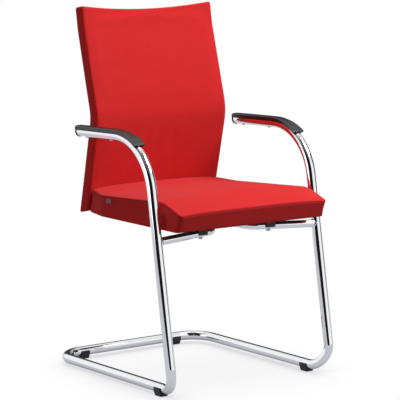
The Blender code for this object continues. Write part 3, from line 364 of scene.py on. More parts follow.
def make_cloth(name, dark, light, sheen):
    material = start_finish(name, light, 0.0, 0.88, Sheen_Weight=sheen, Sheen_Roughness=0.45,
                            Specular_IOR_Level=0.42)
    source = place_source(material, "UV")
    over_under = add_node(material, "ShaderNodeTexChecker", Vector=source, Scale=1 / YARN_PITCH)
    weave = add_mix(material, "FLOAT", over_under.outputs["Fac"], yarns(material, source, "X"),
                    yarns(material, source, "Y"))
    slub = noise(material, source, SLUB_SCALE, 3.0, (1.0, 0.25, 1.0))
    cloud = noise(material, source, CLOUD_SCALE, 4.0)
    uneven = spread(material, add_mix(material, "FLOAT", CLOUD_SHARE, slub, cloud), 0.0, 1.0)
    mottled = add_mix(material, "RGBA", uneven, (*dark, 1.0), (*light, 1.0))
    attribute = add_node(material, "ShaderNodeAttribute")
    attribute.attribute_name = "seam"
    seam = attribute.outputs["Fac"]
    # At a seam the red is darkened with painted shade for the crease; the dent is a real bump.
    crease_painted_shade = (*[CREASE_PAINTED_SHADE * part for part in dark], 1.0)
    feed(material, shader_of(material), Base_Color=add_mix(material, "RGBA", seam, mottled, crease_painted_shade))
    fine = add_relief(material, weave, YARN_RELIEF, YARN_STRENGTH)
    deep = add_node(material, "ShaderNodeBump", Strength=1.0, Distance=-CREASE_DEPTH, Height=seam)
    feed(material, fine, Normal=deep.outputs["Normal"])
    return material


red_cloth = make_cloth("red_weave", (0.65, 0.007, 0.008), (0.72, 0.011, 0.012), 0.08)
liner_cloth = make_cloth("black_liner", (0.010, 0.010, 0.011), (0.020, 0.020, 0.022), 0.05)
print("cloths made")

# %% [markdown]
# ## Small parts from the engineering model
#
# Screws, bolts, saddles, glides, brackets and boards are already right in shape. They stay where
# they are, and only the finish in their material slots changes.

# %% Refinish the engineering parts
PART_FINISHES = (
    (glide_plastic, ("glide_", "bearer_plug_", "seat_saddle_")),
    (zinc, ("armpad_screw_", "seat_screw_", "back_screw_", "seat_bolt_", "seat_tnut_", "frame_joint_sleeve")),
    (black_steel, ("back_bracket_",)),
    (plywood, ("seat_board", "back_shell")),
    (tag_metal, ("seat_tag",)),
    (foam, ("seat_foam", "back_foam_")),
    (chrome, ("frame_tube_", "seat_bearer_")),
    (pad_plastic, ("armpad_left", "armpad_right")),
    (red_cloth, ("seat_cover", "back_cover")),
    (liner_cloth, ("seat_underside",)),
)
refinished = 0
for node_name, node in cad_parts.items():
    for finish, starts in PART_FINISHES:
        if node_name.startswith(starts):
            for slot in node.material_slots:
                slot.material = finish
            refinished += 1
print("refinished:", refinished, "of", len(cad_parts))

# %% [markdown]
# ## The bent tube
#
# The frame is one steel tube of 25 mm, bent five times. It is made here as a bender makes it: a
# ring of vertices is pushed straight on with Extrude, then carried round each bend with Spin about
# the bend's centre. Spinning gives evenly spaced rings at a true radius, and a mirror finish shows
# every uneven one. The wall comes last, from a Solidify modifier.

# %% The frame's lines
SHIFT = -0.00747                   # the model was moved by this to stand over the origin
TUBE_RADIUS = 0.0125
TUBE_WALL = 0.0025
TUBE_SIDES = 40
RUNNER_HEIGHT = 0.0195
ARM_HALF_SPREAD = 0.2526
RUNNER_HALF_SPREAD = 0.234
FRONT_CORNER_Y = -0.2742 + SHIFT
CROSSBAR_Y = 0.276 + SHIFT
ARM_LINE_HEIGHT = 0.6393
ARM_REAR_Y = 0.127 + SHIFT
LEG_LEAN = math.radians(9.87)
ARM_FALL = math.radians(1.35)
ARM_CURVE_RADIUS = 0.151
FRONT_BEND_RADIUS = 0.052
REAR_BEND_RADIUS = 0.070
JOINT_GAP = 0.0003
MERGE_DISTANCE = 0.00002           # spinning leaves doubled rings this close together


def leg_point(side, height):
    y = FRONT_CORNER_Y + math.tan(LEG_LEAN) * (height - RUNNER_HEIGHT)
    return Vector((side * ARM_HALF_SPREAD, y, height))


def arm_corner(side):
    return leg_point(side, ARM_LINE_HEIGHT)


def arm_end(side):
    corner = arm_corner(side)
    drop = math.tan(ARM_FALL) * (ARM_REAR_Y - corner.y)
    return Vector((corner.x, ARM_REAR_Y, ARM_LINE_HEIGHT - drop))


print("arm from", [round(c, 4) for c in arm_end(-1)], "to", [round(c, 4) for c in arm_corner(-1)])


# %% Extrude and spin a tube
def bend_at(before, corner, after, radius):
    """Start of a bend, its end, its centre, the axis that it turns about and its angle."""
    back = (before - corner).normalized()
    on = (after - corner).normalized()
    half_angle = back.angle(on) / 2
    reach = radius / math.tan(half_angle)
    centre = corner + (back + on).normalized() * (radius / math.sin(half_angle))
    start = corner + back * reach
    end = corner + on * reach
    axis = (start - centre).cross(end - centre).normalized()
    return start, end, centre, axis, math.pi - 2 * half_angle


def start_tube(place, way, radius, sides):
    clear_selection()
    turn = way.to_track_quat("Z", "Y").to_euler()
    bpy.ops.mesh.primitive_circle_add(vertices=sides, radius=radius, location=place, rotation=turn)
    tube = bpy.context.object
    bpy.ops.object.transform_apply(location=True, rotation=True, scale=True)
    edit(tube)
    return tube


def push_on(step):
    bpy.ops.mesh.extrude_region_move(TRANSFORM_OT_translate={"value": step})


def go_round(bend, steps):
    """Spins the open ring about the bend's centre. The operator turns against the axis."""
    _, _, centre, axis, angle = bend
    bpy.ops.mesh.spin(steps=steps, angle=angle, center=centre, axis=-axis)


def finish_tube(tube, wall):
    edit(tube)
    bpy.ops.mesh.remove_doubles(threshold=MERGE_DISTANCE)
    face_outwards(tube)
    thickness = tube.modifiers.new("wall", "SOLIDIFY")
    thickness.thickness = wall
    thickness.offset = -1.0
    apply_all(tube)
    smooth(tube)


# %% Bend the frame
ARM_CURVE_STEPS = 64
FRONT_BEND_STEPS = 32
REAR_BEND_STEPS = 28


def draw_inwards(tube, side, bend, first_new):
    """The front bend also leans in, from the legs' spread to the runners'."""
    leave_edit()
    start, _, centre, axis, angle = bend
    spoke = (start - centre).normalized()
    for vertex in tube.data.vertices:
        if vertex.index < first_new:
            continue
        arm = vertex.co - centre
        arm.x = 0.0
        swept = math.atan2(spoke.cross(arm).dot(axis), spoke.dot(arm))
        inward = (ARM_HALF_SPREAD - RUNNER_HALF_SPREAD) * smoothstep(swept / angle)
        vertex.co.x -= side * inward
    bpy.ops.object.mode_set(mode="EDIT")


def make_frame_half(side):
    foot = leg_point(side, RUNNER_HEIGHT)
    arm_bend = bend_at(arm_end(side), arm_corner(side), foot, ARM_CURVE_RADIUS)
    front_bend = bend_at(arm_corner(side), foot, Vector((foot.x, CROSSBAR_Y, foot.z)), FRONT_BEND_RADIUS)
    runner_start = Vector((side * RUNNER_HALF_SPREAD, front_bend[1].y, RUNNER_HEIGHT))
    rear_corner = Vector((side * RUNNER_HALF_SPREAD, CROSSBAR_Y, RUNNER_HEIGHT))
    crossbar_end = Vector((side * JOINT_GAP / 2, CROSSBAR_Y, RUNNER_HEIGHT))
    rear_bend = bend_at(runner_start, rear_corner, crossbar_end, REAR_BEND_RADIUS)

    tube = start_tube(arm_end(side), arm_corner(side) - arm_end(side), TUBE_RADIUS, TUBE_SIDES)
    push_on(arm_bend[0] - arm_end(side))
    go_round(arm_bend, ARM_CURVE_STEPS)
    push_on(front_bend[0] - arm_bend[1])
    leave_edit()
    before_bend = len(tube.data.vertices)
    bpy.ops.object.mode_set(mode="EDIT")
    go_round(front_bend, FRONT_BEND_STEPS)
    draw_inwards(tube, side, front_bend, before_bend)
    push_on(rear_bend[0] - runner_start)
    go_round(rear_bend, REAR_BEND_STEPS)
    push_on(crossbar_end - rear_bend[1])
    finish_tube(tube, TUBE_WALL)
    return tube


for label, side in SIDES:
    half = make_frame_half(side)
    dress(half, "chrome_frame_" + label, chrome)
    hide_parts("frame_tube_" + label)

# %% [markdown]
# ## Seat bearers
#
# A thinner tube is welded to the inside of each leg. It runs inwards under the front of the seat
# and turns back under it, and the seat is bolted to it through black saddles.

# %% Bend the bearers
BEARER_RADIUS = 0.010
BEARER_WALL = 0.002
BEARER_SIDES = 32
BEARER_LEG_HEIGHT = 0.389
BEARER_TURN_X = 0.055
BEARER_TURN_Y = -0.186 + SHIFT
BEARER_HEIGHT = 0.397
BEARER_TURN_RADIUS = 0.035
BEARER_REAR_Y = 0.112 + SHIFT
BEARER_TURN_STEPS = 16


def bearer_start(side):
    """Where a bearer's line leaves the leg's, and the corner that it runs to."""
    return leg_point(side, BEARER_LEG_HEIGHT), Vector((side * BEARER_TURN_X, BEARER_TURN_Y, BEARER_HEIGHT))


def make_bearer(side):
    leg, corner = bearer_start(side)
    rear = Vector((corner.x, BEARER_REAR_Y, BEARER_HEIGHT))
    bend = bend_at(leg, corner, rear, BEARER_TURN_RADIUS)
    start = leg + (corner - leg).normalized() * (TUBE_RADIUS - TUBE_WALL / 2)
    tube = start_tube(start, corner - leg, BEARER_RADIUS, BEARER_SIDES)
    push_on(bend[0] - start)
    go_round(bend, BEARER_TURN_STEPS)
    push_on(rear - bend[1])
    finish_tube(tube, BEARER_WALL)
    return tube


for label, side in SIDES:
    bearer = make_bearer(side)
    dress(bearer, "chrome_bearer_" + label, chrome)
    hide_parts("seat_bearer_" + label)

# %% [markdown]
# ## Weld beads
#
# Where a bearer meets its leg, the joint is welded and chromed over. The bead starts as a torus
# square to the bearer. Each of its vertices is then moved along the bearer until it lies on the
# round of the leg, with a faint ripple, so the bead follows the line where the two walls meet.

# %% Beads
BEAD_RADIUS = 0.0013
BEAD_SIDES = 12
BEAD_STEPS = 48
BEAD_RIPPLE = 0.002
RIPPLES_X, RIPPLES_Y = 2100, 1700      # radians a metre


def make_bead(side):
    leg, corner = bearer_start(side)
    way = (corner - leg).normalized()
    down_leg = (leg_point(side, RUNNER_HEIGHT) - leg).normalized()
    clear_selection()
    bpy.ops.mesh.primitive_torus_add(major_segments=BEAD_STEPS, minor_segments=BEAD_SIDES,
                                     major_radius=BEARER_RADIUS, minor_radius=BEAD_RADIUS)
    bead = bpy.context.object
    turn = way.to_track_quat("Z", "Y").to_matrix()
    builder = bmesh.new()
    builder.from_mesh(bead.data)
    for vertex in builder.verts:
        place = turn @ vertex.co
        across = place - down_leg * place.dot(down_leg)
        across -= way * across.dot(way)
        reach = math.sqrt(max(0.0, TUBE_RADIUS ** 2 - min(across.length, TUBE_RADIUS) ** 2))
        ripple = BEAD_RIPPLE * math.sin(vertex.co.x * RIPPLES_X) * math.cos(vertex.co.y * RIPPLES_Y)
        vertex.co = leg + place * (1 + ripple) + way * reach
    builder.to_mesh(bead.data)
    builder.free()
    smooth(bead, 80.0)
    return bead


for label, side in SIDES:
    dress(make_bead(side), "weld_bead_" + label, chrome)

# %% [markdown]
# ## Building a skin from rings
#
# The upholstery and the pads change their section all along, so none of them is a plain extrusion.
# They are made from rings, closed loops of equally many vertices, each laid on its own line. For
# the cloth parts all the faces between the rings are made in one go.

# %% Skin helpers
def end_strips(start, count):
    """Corner numbers of the strips that close a ring whose first vertex has the number start."""
    last = start + count - 1
    return [(start + k, start + k + 1, last - 1 - k, last - k) for k in range(count // 2 - 1)]


def skin_of_rings(name, rings, close_start=True, close_end=True):
    """A mesh through rings of equally many points. Ends close in strips across the ring."""
    count = len(rings[0])
    faces = []
    for low in range(0, (len(rings) - 1) * count, count):
        high = low + count
        for k in range(count):
            following = (k + 1) % count
            faces.append((low + k, low + following, high + following, high + k))
    for start, closing in ((0, close_start), ((len(rings) - 1) * count, close_end)):
        if closing:
            faces += end_strips(start, count)
    mesh = bpy.data.meshes.new(name)
    mesh.from_pydata([tuple(point) for ring in rings for point in ring], [], faces)
    piece = add_piece(name, mesh)
    face_outwards(piece)
    return piece


def between(first, last, count):
    return [mix(first, last, i / (count + 1)) for i in range(1, count + 1)]


def cloth_map(piece):
    """A UV map in metres, laid on from the six sides as cut panels are."""
    edit(piece, "FACE")
    bpy.ops.uv.cube_project(cube_size=1.0, correct_aspect=False, clip_to_bounds=False, scale_to_bounds=False)
    leave_edit()


# %% [markdown]
# ## The armpads
#
# Each pad is one moulding. It saddles the arm tube, closes the tube's rear end with a hook and
# widens towards its front tip, where its sides thin out. The section changes all along, so a ring
# of vertices is extruded ring by ring, and each new ring is laid where the moulding's section has
# it at that place. A number on every vertex says which point of the section it is, and Extrude
# passes the number on to its copies.

# %% The pad's lines
PAD_TOP_THICKNESS = 0.0041
PAD_REAR_THICKNESS = 0.0036
PAD_FRONT_THICKNESS = 0.0041
PAD_HALF_WIDTH = 0.0148
PAD_FLARE_HALF_WIDTH = 0.0185
PAD_LIP_RISE = 0.0049
PAD_FLARE_LIP_RISE = 0.0073
PAD_LIP_WALL = 0.0022
PAD_END_WALL = 0.0050
PAD_HOOK_RIM = 0.0016
PAD_TIP_LEAD = 0.002
PAD_FLARE_SHARE = 0.34
PAD_REAR_EASE_SHARE = 0.22
PAD_END_FACE_SHARE = 0.86
PAD_END_ROUND_SHARE = 0.955        # of the section, where its rounding ends at the rear
PAD_END_ROUND_PLACE = 0.86         # of the end wall, where that lies
PAD_EDGE_RADIUS = 0.0005
PAD_EDGE_ANGLE = math.radians(42)
PAD_CLEARANCE = 0.0003
PAD_STRAIGHT_STEPS = 10
PAD_CURVE_STEPS = 54
PAD_COVERED_STEPS = 24
PAD_SHARES = ((1.0, 0.25), (1.0, 0.58), (0.90, 0.82), (0.68, 0.94), (0.36, 0.99), (0.0, 1.0))
PAD_TIP_SHARES = ((0.96, 0.68), (1.0, 0.82), (0.94, 0.93), (0.70, 0.98), (0.36, 1.0), (0.0, 1.0))


def arc(bend, steps):
    start, _, centre, axis, angle = bend
    return [centre + Matrix.Rotation(angle * i / steps, 3, axis) @ (start - centre) for i in range(steps + 1)]


def smooth_line(points, cuts):
    """A line that runs smoothly through the points, with new ones between each two."""
    line = []
    for i in range(len(points) - 1):
        before = points[max(i - 1, 0)]
        first, second = points[i], points[i + 1]
        after = points[min(i + 2, len(points) - 1)]
        for cut in range(cuts + 1):
            t = cut / (cuts + 1)
            line.append(0.5 * (2 * first + (second - before) * t
                               + (2 * before - 5 * first + 4 * second - after) * t * t
                               + (3 * first - before - 3 * second + after) * t ** 3))
    return line + [points[-1]]


def pad_section(share):
    """Left half of the pad's outside, lip first, as (sideways, outward), and the lip's angle."""
    flare = smoothstep((share - 1 + PAD_FLARE_SHARE) / PAD_FLARE_SHARE)
    rear = smoothstep(share / PAD_REAR_EASE_SHARE)
    half_width = mix(PAD_HALF_WIDTH, PAD_FLARE_HALF_WIDTH, flare)
    lip = mix(PAD_LIP_RISE, PAD_FLARE_LIP_RISE, flare)
    thickness = mix(mix(PAD_REAR_THICKNESS, PAD_TOP_THICKNESS, rear), PAD_FRONT_THICKNESS, flare)
    height = TUBE_RADIUS + thickness - lip
    groove = TUBE_RADIUS + PAD_CLEARANCE
    lip_angle = math.asin(lip / groove)
    half = [Vector((groove * math.cos(lip_angle) + PAD_LIP_WALL, lip))]
    for along, tip in zip(PAD_SHARES, PAD_TIP_SHARES):
        sideways, upward = (mix(a, b, flare) for a, b in zip(along, tip))
        half.append(Vector((half_width * sideways, lip + height * upward)))
    over_top = smooth_line(half + [Vector((-half[-2].x, half[-2].y))], 1)
    return over_top[:-2], lip_angle


def pad_ring(station, groove_below=False, shift=0.0, shrink=1.0, lead=0.0):
    """The outside from the left lip to the right one, then back through the groove."""
    point, run, share = station
    outward = run.cross(Vector((1, 0, 0))).normalized()
    half, lip_angle = pad_section(share)
    outside = [(-p.x, p.y) for p in half] + [(p.x, p.y) for p in half[-2::-1]]
    groove = TUBE_RADIUS + (PAD_HOOK_RIM if groove_below else PAD_CLEARANCE)
    sweep = -(math.pi + 2 * lip_angle) if groove_below else math.pi - 2 * lip_angle
    inside = []
    for i in range(len(outside)):
        angle = lip_angle + sweep * i / (len(outside) - 1)
        inside.append((groove * math.cos(angle), groove * math.sin(angle)))
    lip, top = half[0].y, half[-1].y
    ring = []
    for x, z in outside + inside:
        ahead = shift + lead * (z - lip) / (top - lip)
        ring.append(point + run * ahead + (Vector((x, 0, 0)) + outward * z) * shrink)
    return ring


def pad_stations(side):
    """Points along the arm's centre line with the way it runs there and a share of the length."""
    end = arm_end(side)
    bend = bend_at(end, arm_corner(side), leg_point(side, RUNNER_HEIGHT), ARM_CURVE_RADIUS)
    straight = [end.lerp(bend[0], i / PAD_STRAIGHT_STEPS) for i in range(PAD_STRAIGHT_STEPS)]
    points = straight + arc(bend, PAD_CURVE_STEPS)[:PAD_COVERED_STEPS + 1]
    total = sum((b - a).length for a, b in zip(points, points[1:]))
    stations = []
    gone = 0.0
    for i, point in enumerate(points):
        behind = points[i - 1] if i else point
        ahead = points[min(i + 1, len(points) - 1)]
        gone += (point - behind).length
        stations.append((point, (ahead - behind).normalized(), gone / total))
    return stations


# %% Extrude a pad ring by ring
def extrude_rings(name, rings):
    """Lays a circle's vertices on the first ring, then extrudes them on to each of the others."""
    clear_selection()
    bpy.ops.mesh.primitive_circle_add(vertices=len(rings[0]), radius=TUBE_RADIUS, location=(0, 0, 0))
    piece = bpy.context.object
    piece.name = name
    edit(piece)
    builder = bmesh.from_edit_mesh(piece.data)
    number = builder.verts.layers.int.new("place")
    for vertex in builder.verts:
        vertex[number] = vertex.index
    for i, ring in enumerate(rings):
        if i:
            bpy.ops.mesh.extrude_region_move(TRANSFORM_OT_translate={"value": (0, 0, 0)})
        builder = bmesh.from_edit_mesh(piece.data)
        number = builder.verts.layers.int["place"]
        for vertex in builder.verts:
            if vertex.select:
                vertex.co = ring[vertex[number]]
        bmesh.update_edit_mesh(piece.data)
    leave_edit()
    return piece


def close_ends(piece, count):
    """Closes the first and the last ring in strips across the section."""
    builder = bmesh.new()
    builder.from_mesh(piece.data)
    builder.verts.ensure_lookup_table()
    for start in (0, len(builder.verts) - count):
        for corners in end_strips(start, count):
            builder.faces.new([builder.verts[c] for c in corners])
    builder.verts.layers.int.remove(builder.verts.layers.int["place"])
    builder.to_mesh(piece.data)
    builder.free()
    face_outwards(piece)


def make_armpad(side):
    stations = pad_stations(side)
    rear = stations[0]
    wall = PAD_END_WALL
    gap = PAD_CLEARANCE
    rings = [pad_ring(rear, True, -wall - gap, shrink=PAD_END_FACE_SHARE),
             pad_ring(rear, True, -wall * PAD_END_ROUND_PLACE, shrink=PAD_END_ROUND_SHARE),
             pad_ring(rear, True, -wall / 2),
             pad_ring(rear, True, -gap * 2),
             pad_ring(rear, False, -gap)]
    rings += [pad_ring(station) for station in stations[:-1]]
    rings.append(pad_ring(stations[-1], lead=PAD_TIP_LEAD))
    pad = extrude_rings("armpad", rings)
    close_ends(pad, len(rings[0]))
    rounding = pad.modifiers.new("moulded_edges", "BEVEL")
    rounding.width = PAD_EDGE_RADIUS
    rounding.segments = 2
    rounding.limit_method = "ANGLE"
    rounding.angle_limit = PAD_EDGE_ANGLE
    rounding.use_clamp_overlap = True
    apply_all(pad)
    smooth(pad, 50.0)
    return pad


for label, side in SIDES:
    pad = make_armpad(side)
    dress(pad, "moulded_pad_" + label, pad_plastic)
    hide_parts("armpad_" + label)

# %% [markdown]
# ### Letting the cloth swell
#
# Cloth over foam is blown up from inside and held at its seams. Blender's Cloth does just that: a
# little pressure, no gravity, and a group of vertices that are pinned. Twenty frames are enough.
# No point may end further than a few millimetres from where it started, and one subdivision then
# makes the surface finer. A seam is marked afterwards, as a number on each vertex that the cloth's
# material turns into a thin dent with painted shade in it.

# %% Cloth helpers
SWELL_FRAMES = 20
SWELL_PRESSURE = 4.0
SEAM_WIDTH = 0.0013
SEAM_SPACING = 0.0008


def swell(piece, pin, cap):
    """Blows a cover up, held where pin(place) is 1, and moves no point further than cap metres."""
    before = [vertex.co.copy() for vertex in piece.data.vertices]
    held = piece.vertex_groups.new(name="held")
    for vertex in piece.data.vertices:
        held.add([vertex.index], pin(vertex.co), "REPLACE")
    make_active(piece)
    cloth = piece.modifiers.new("cloth", "CLOTH")
    cloth.settings.vertex_group_mass = held.name
    cloth.settings.use_pressure = True
    cloth.settings.uniform_pressure_force = SWELL_PRESSURE
    cloth.settings.effector_weights.gravity = 0.0
    cloth.point_cache.frame_start = 1
    cloth.point_cache.frame_end = SWELL_FRAMES
    for number in range(1, SWELL_FRAMES + 1):
        bpy.context.scene.frame_set(number)
    bpy.ops.object.modifier_apply(modifier=cloth.name)
    bpy.context.scene.frame_set(1)
    furthest = 0.0
    for vertex, start in zip(piece.data.vertices, before):
        move = vertex.co - start
        if move.length > cap:
            vertex.co = start + move.normalized() * cap
        furthest = max(furthest, move.length)
    piece.vertex_groups.clear()
    print(piece.name, "swelled by", round(furthest * 1000, 2), "mm before the cap")
    finer = piece.modifiers.new("finer", "SUBSURF")
    finer.levels = 1
    finer.render_levels = 1
    finer.boundary_smooth = "PRESERVE_CORNERS"
    apply_all(piece)


def mark_seam(piece, line):
    """Writes a number from 0 to 1 on every vertex: how close it lies to the seam."""
    spots = []
    for first, second in zip(line, line[1:]):
        steps = max(1, int((second - first).length / SEAM_SPACING))
        spots += [first.lerp(second, i / steps) for i in range(steps)]
    tree = KDTree(len(spots))
    for i, spot in enumerate(spots):
        tree.insert(spot, i)
    tree.balance()
    seam = piece.data.attributes.new("seam", "FLOAT", "POINT")
    for vertex in piece.data.vertices:
        distance = tree.find(vertex.co)[2]
        seam.data[vertex.index].value = math.exp(-(distance / SEAM_WIDTH) ** 2)


# %% [markdown]
# ## The back
#
# Seen from the side, the back leans forward up to a kink at elbow height and leans away above it.
# Seen from above, it is hollow, with its side edges forward. The top edge dips in the middle. One
# function gives any point of it from a place across, a distance up and a depth, and the rings of
# the cover are read from that.

# %% The back's surfaces
BACK_BASE = Vector((0, 0.187 + SHIFT, 0.404))
BACK_KINK = Vector((0, 0.130 + SHIFT, 0.663))
BACK_SHOULDER = Vector((0, 0.1905 + SHIFT, 0.888))
BACK_TOP = Vector((0, 0.200 + SHIFT, 0.946))
BACK_KINK_RADIUS = 0.110
BACK_SHOULDER_RADIUS = 0.200
BACK_THICKNESS = 0.037
BACK_BASE_HALF_WIDTH = 0.208
BACK_KINK_HALF_WIDTH = 0.2095
BACK_TOP_HALF_WIDTH = 0.208
BACK_SIDE_RADIUS = 0.0085
BACK_HOLLOW = 0.014
BACK_TOP_DIP = 0.012
BACK_BASE_RISE = 0.017
BACK_TOP_EDGE_RADIUS = 0.006
BACK_BEND_STEPS = 24


def make_back_line():
    kink = bend_at(BACK_BASE, BACK_KINK, BACK_SHOULDER, BACK_KINK_RADIUS)
    shoulder = bend_at(BACK_KINK, BACK_SHOULDER, BACK_TOP, BACK_SHOULDER_RADIUS)
    points = [BACK_BASE] + arc(kink, BACK_BEND_STEPS) + arc(shoulder, BACK_BEND_STEPS) + [BACK_TOP]
    lengths = [0.0]
    for first, second in zip(points, points[1:]):
        lengths.append(lengths[-1] + (second - first).length)
    return points, lengths


BACK_LINE, BACK_LENGTHS = make_back_line()
BACK_LENGTH = BACK_LENGTHS[-1]
KINK_DISTANCE = (BACK_KINK - BACK_BASE).length


def rearward(way):
    return Vector((0, way.z, -way.y)).normalized()


def back_line(distance):
    """Point and rearward direction at a distance up the back."""
    last = len(BACK_LINE) - 2
    index = 0
    while index < last and BACK_LENGTHS[index + 1] < distance:
        index += 1
    first, second = BACK_LINE[index], BACK_LINE[index + 1]
    share = (distance - BACK_LENGTHS[index]) / (BACK_LENGTHS[index + 1] - BACK_LENGTHS[index])
    before = BACK_LINE[max(index - 1, 0)]
    after = BACK_LINE[min(index + 2, last + 1)]
    low_way = (second - before) if index else (second - first)
    high_way = (after - first)
    return first.lerp(second, share), mix(rearward(low_way), rearward(high_way), share).normalized()


def back_half_width(distance):
    if distance < KINK_DISTANCE:
        return mix(BACK_BASE_HALF_WIDTH, BACK_KINK_HALF_WIDTH, smoothstep(distance / KINK_DISTANCE))
    share = (distance - KINK_DISTANCE) / (BACK_LENGTH - KINK_DISTANCE)
    return mix(BACK_KINK_HALF_WIDTH, BACK_TOP_HALF_WIDTH, smoothstep(share))


def back_point(x, distance, depth):
    middle_share = 1 - (x / BACK_KINK_HALF_WIDTH) ** 2
    above_kink = (distance - KINK_DISTANCE) / (BACK_LENGTH - KINK_DISTANCE)
    dip = BACK_TOP_DIP * middle_share * smoothstep(above_kink)
    point, normal = back_line(distance - dip)
    return Vector((x, 0, 0)) + point + normal * (depth + BACK_HOLLOW * middle_share)


print("back length", round(BACK_LENGTH, 3), "kink at", round(KINK_DISTANCE, 3))

# %% Rings of the back
BACK_COLUMNS = 56
BACK_ROWS = 84
BACK_CORNER_STEPS = 5
BACK_SIDE_STEPS = 3
BACK_TOP_STEPS = 5
BACK_RISE_SHARE = 0.25             # of the height, where the slant of the lower edge has gone
BACK_LEAST_RADIUS = 0.001


def back_section(half, deep, radius):
    """(across, depth) round the back: front face left to right, side, rear face, side."""
    corner = []
    for i in range(BACK_CORNER_STEPS + 1):
        angle = math.pi / 2 * i / BACK_CORNER_STEPS
        corner.append((-half + radius - radius * math.cos(angle), -deep + radius - radius * math.sin(angle)))
    flat = half - radius
    across = [(mix(-flat, flat, i / BACK_COLUMNS), -deep) for i in range(1, BACK_COLUMNS)]
    left_front = [(-half, depth) for depth in between(0.0, -deep + radius, BACK_SIDE_STEPS)] + corner
    front = left_front + across + [(-x, depth) for x, depth in left_front[::-1]]
    rear = [(x, -depth) for x, depth in reversed(front)]
    return front + rear


def back_ring(distance, radius, shear=0.0, inset=0.0):
    half = back_half_width(distance) - inset
    deep = BACK_THICKNESS / 2 - inset
    ring = []
    for x, depth in back_section(half, deep, radius):
        lift = shear * (0.5 - depth / BACK_THICKNESS)
        ring.append(back_point(x, distance + lift, depth))
    return ring


def back_rings():
    rings = []
    last = BACK_LENGTH - BACK_TOP_EDGE_RADIUS
    for i in range(BACK_ROWS + 1):
        share = i / BACK_ROWS
        shear = BACK_BASE_RISE * (1 - smoothstep(share / BACK_RISE_SHARE))
        rings.append(back_ring(mix(0.0, last, share), BACK_SIDE_RADIUS, shear))
    for i in range(1, BACK_TOP_STEPS + 1):
        angle = math.pi / 2 * i / BACK_TOP_STEPS
        distance = last + BACK_TOP_EDGE_RADIUS * math.sin(angle)
        drawn = BACK_TOP_EDGE_RADIUS * (1 - math.cos(angle))
        rings.append(back_ring(distance, max(BACK_SIDE_RADIUS - drawn, BACK_LEAST_RADIUS), 0.0, drawn))
    return rings


back = skin_of_rings("red_back", back_rings())

# %% Let the back swell
BACK_SWELL_CAP = 0.0035
BACK_SIDE_HELD = 0.013
BACK_TOP_HELD = 0.010
BACK_BASE_HELD = 0.085             # as far as the seat stands against it
KINK_HELD = 0.015
KINK_HOLD = 0.35
CORNER_SEAM_SHARE = 0.3            # of an edge's radius, from the outside in


def back_pin(place):
    """Held round its whole rim and, more loosely, along the kink; free over the two panels."""
    at_side = BACK_KINK_HALF_WIDTH - abs(place.x) < BACK_SIDE_HELD
    at_top = place.z > BACK_TOP.z - BACK_TOP_DIP - BACK_TOP_HELD
    if at_side or at_top or place.z < BACK_BASE.z + BACK_BASE_HELD:
        return 1.0
    return KINK_HOLD if abs(place.z - BACK_KINK.z) < KINK_HELD else 0.0


def back_edge_line():
    """The seam up one side edge, over the top and down the other, on the rear corner."""
    half = BACK_THICKNESS / 2
    inner = BACK_SIDE_RADIUS * CORNER_SEAM_SHARE
    last = BACK_LENGTH - BACK_TOP_EDGE_RADIUS * CORNER_SEAM_SHARE
    left = []
    for i in range(BACK_ROWS * 2 + 1):
        distance = last * i / (BACK_ROWS * 2)
        left.append(back_point(-back_half_width(distance) + inner, distance, half - inner))
    top = []
    for i in range(1, BACK_COLUMNS * 2):
        x = mix(-1, 1, i / (BACK_COLUMNS * 2)) * (back_half_width(last) - inner)
        top.append(back_point(x, last, half - inner))
    return left + top + [Vector((-p.x, p.y, p.z)) for p in reversed(left)]


swell(back, back_pin, BACK_SWELL_CAP)
mark_seam(back, back_edge_line())
cloth_map(back)
smooth(back, 60.0)
dress(back, "red_back", red_cloth)
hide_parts("back_cover", "back_foam_front", "back_foam_rear")

# %% [markdown]
# ## The seat
#
# The seat is a thick boxed cushion. Its plan narrows towards the back, its top is crowned, and at
# the front it falls in a waterfall to a crease, below which the front face slopes back under. The
# sides pull in a little between their top and bottom edges.

# %% The seat's surfaces
SEAT_HALF_WIDTH = 0.2275
SEAT_FRONT_HALF_WIDTH = 0.2335
SEAT_REAR_HALF_WIDTH = 0.203
SEAT_TAPER_Y = 0.070
SEAT_REAR_Y = 0.150
SEAT_FRONT_Y = -0.279
SEAT_FRONT_CORNER_RADIUS = 0.010
SEAT_REAR_CORNER_RADIUS = 0.020
SEAT_TAPER_RADIUS = 0.090
SEAT_BASE_HEIGHT = 0.415
SEAT_REAR_HEIGHT = 0.4655
SEAT_REAR_RISE = 0.005             # where the cushion swells up to meet the back
SEAT_CREST_HEIGHT = 0.4845
SEAT_CREST_Y = -0.195
SEAT_WATERFALL_DROP = 0.0265
SEAT_WATERFALL_POWER = 1.25
SEAT_CROWN = 0.0105
SEAT_CROWN_POWER = 4               # higher is flatter in the middle
SEAT_UNDERCUT = 0.015
SEAT_SIDE_DRAW_IN = 0.0025
SEAT_TOP_EDGE_RADIUS = 0.0055
SEAT_BASE_EDGE_RADIUS = 0.004
SEAT_BACK_GAP = 0.0008
SEAT_CORNER_STEPS = 7
SEAT_SPACING = 0.0075
SEAT_EDGE_COUNTS = [24, 3, 44, 24]  # points between the corners, rear middle to front middle


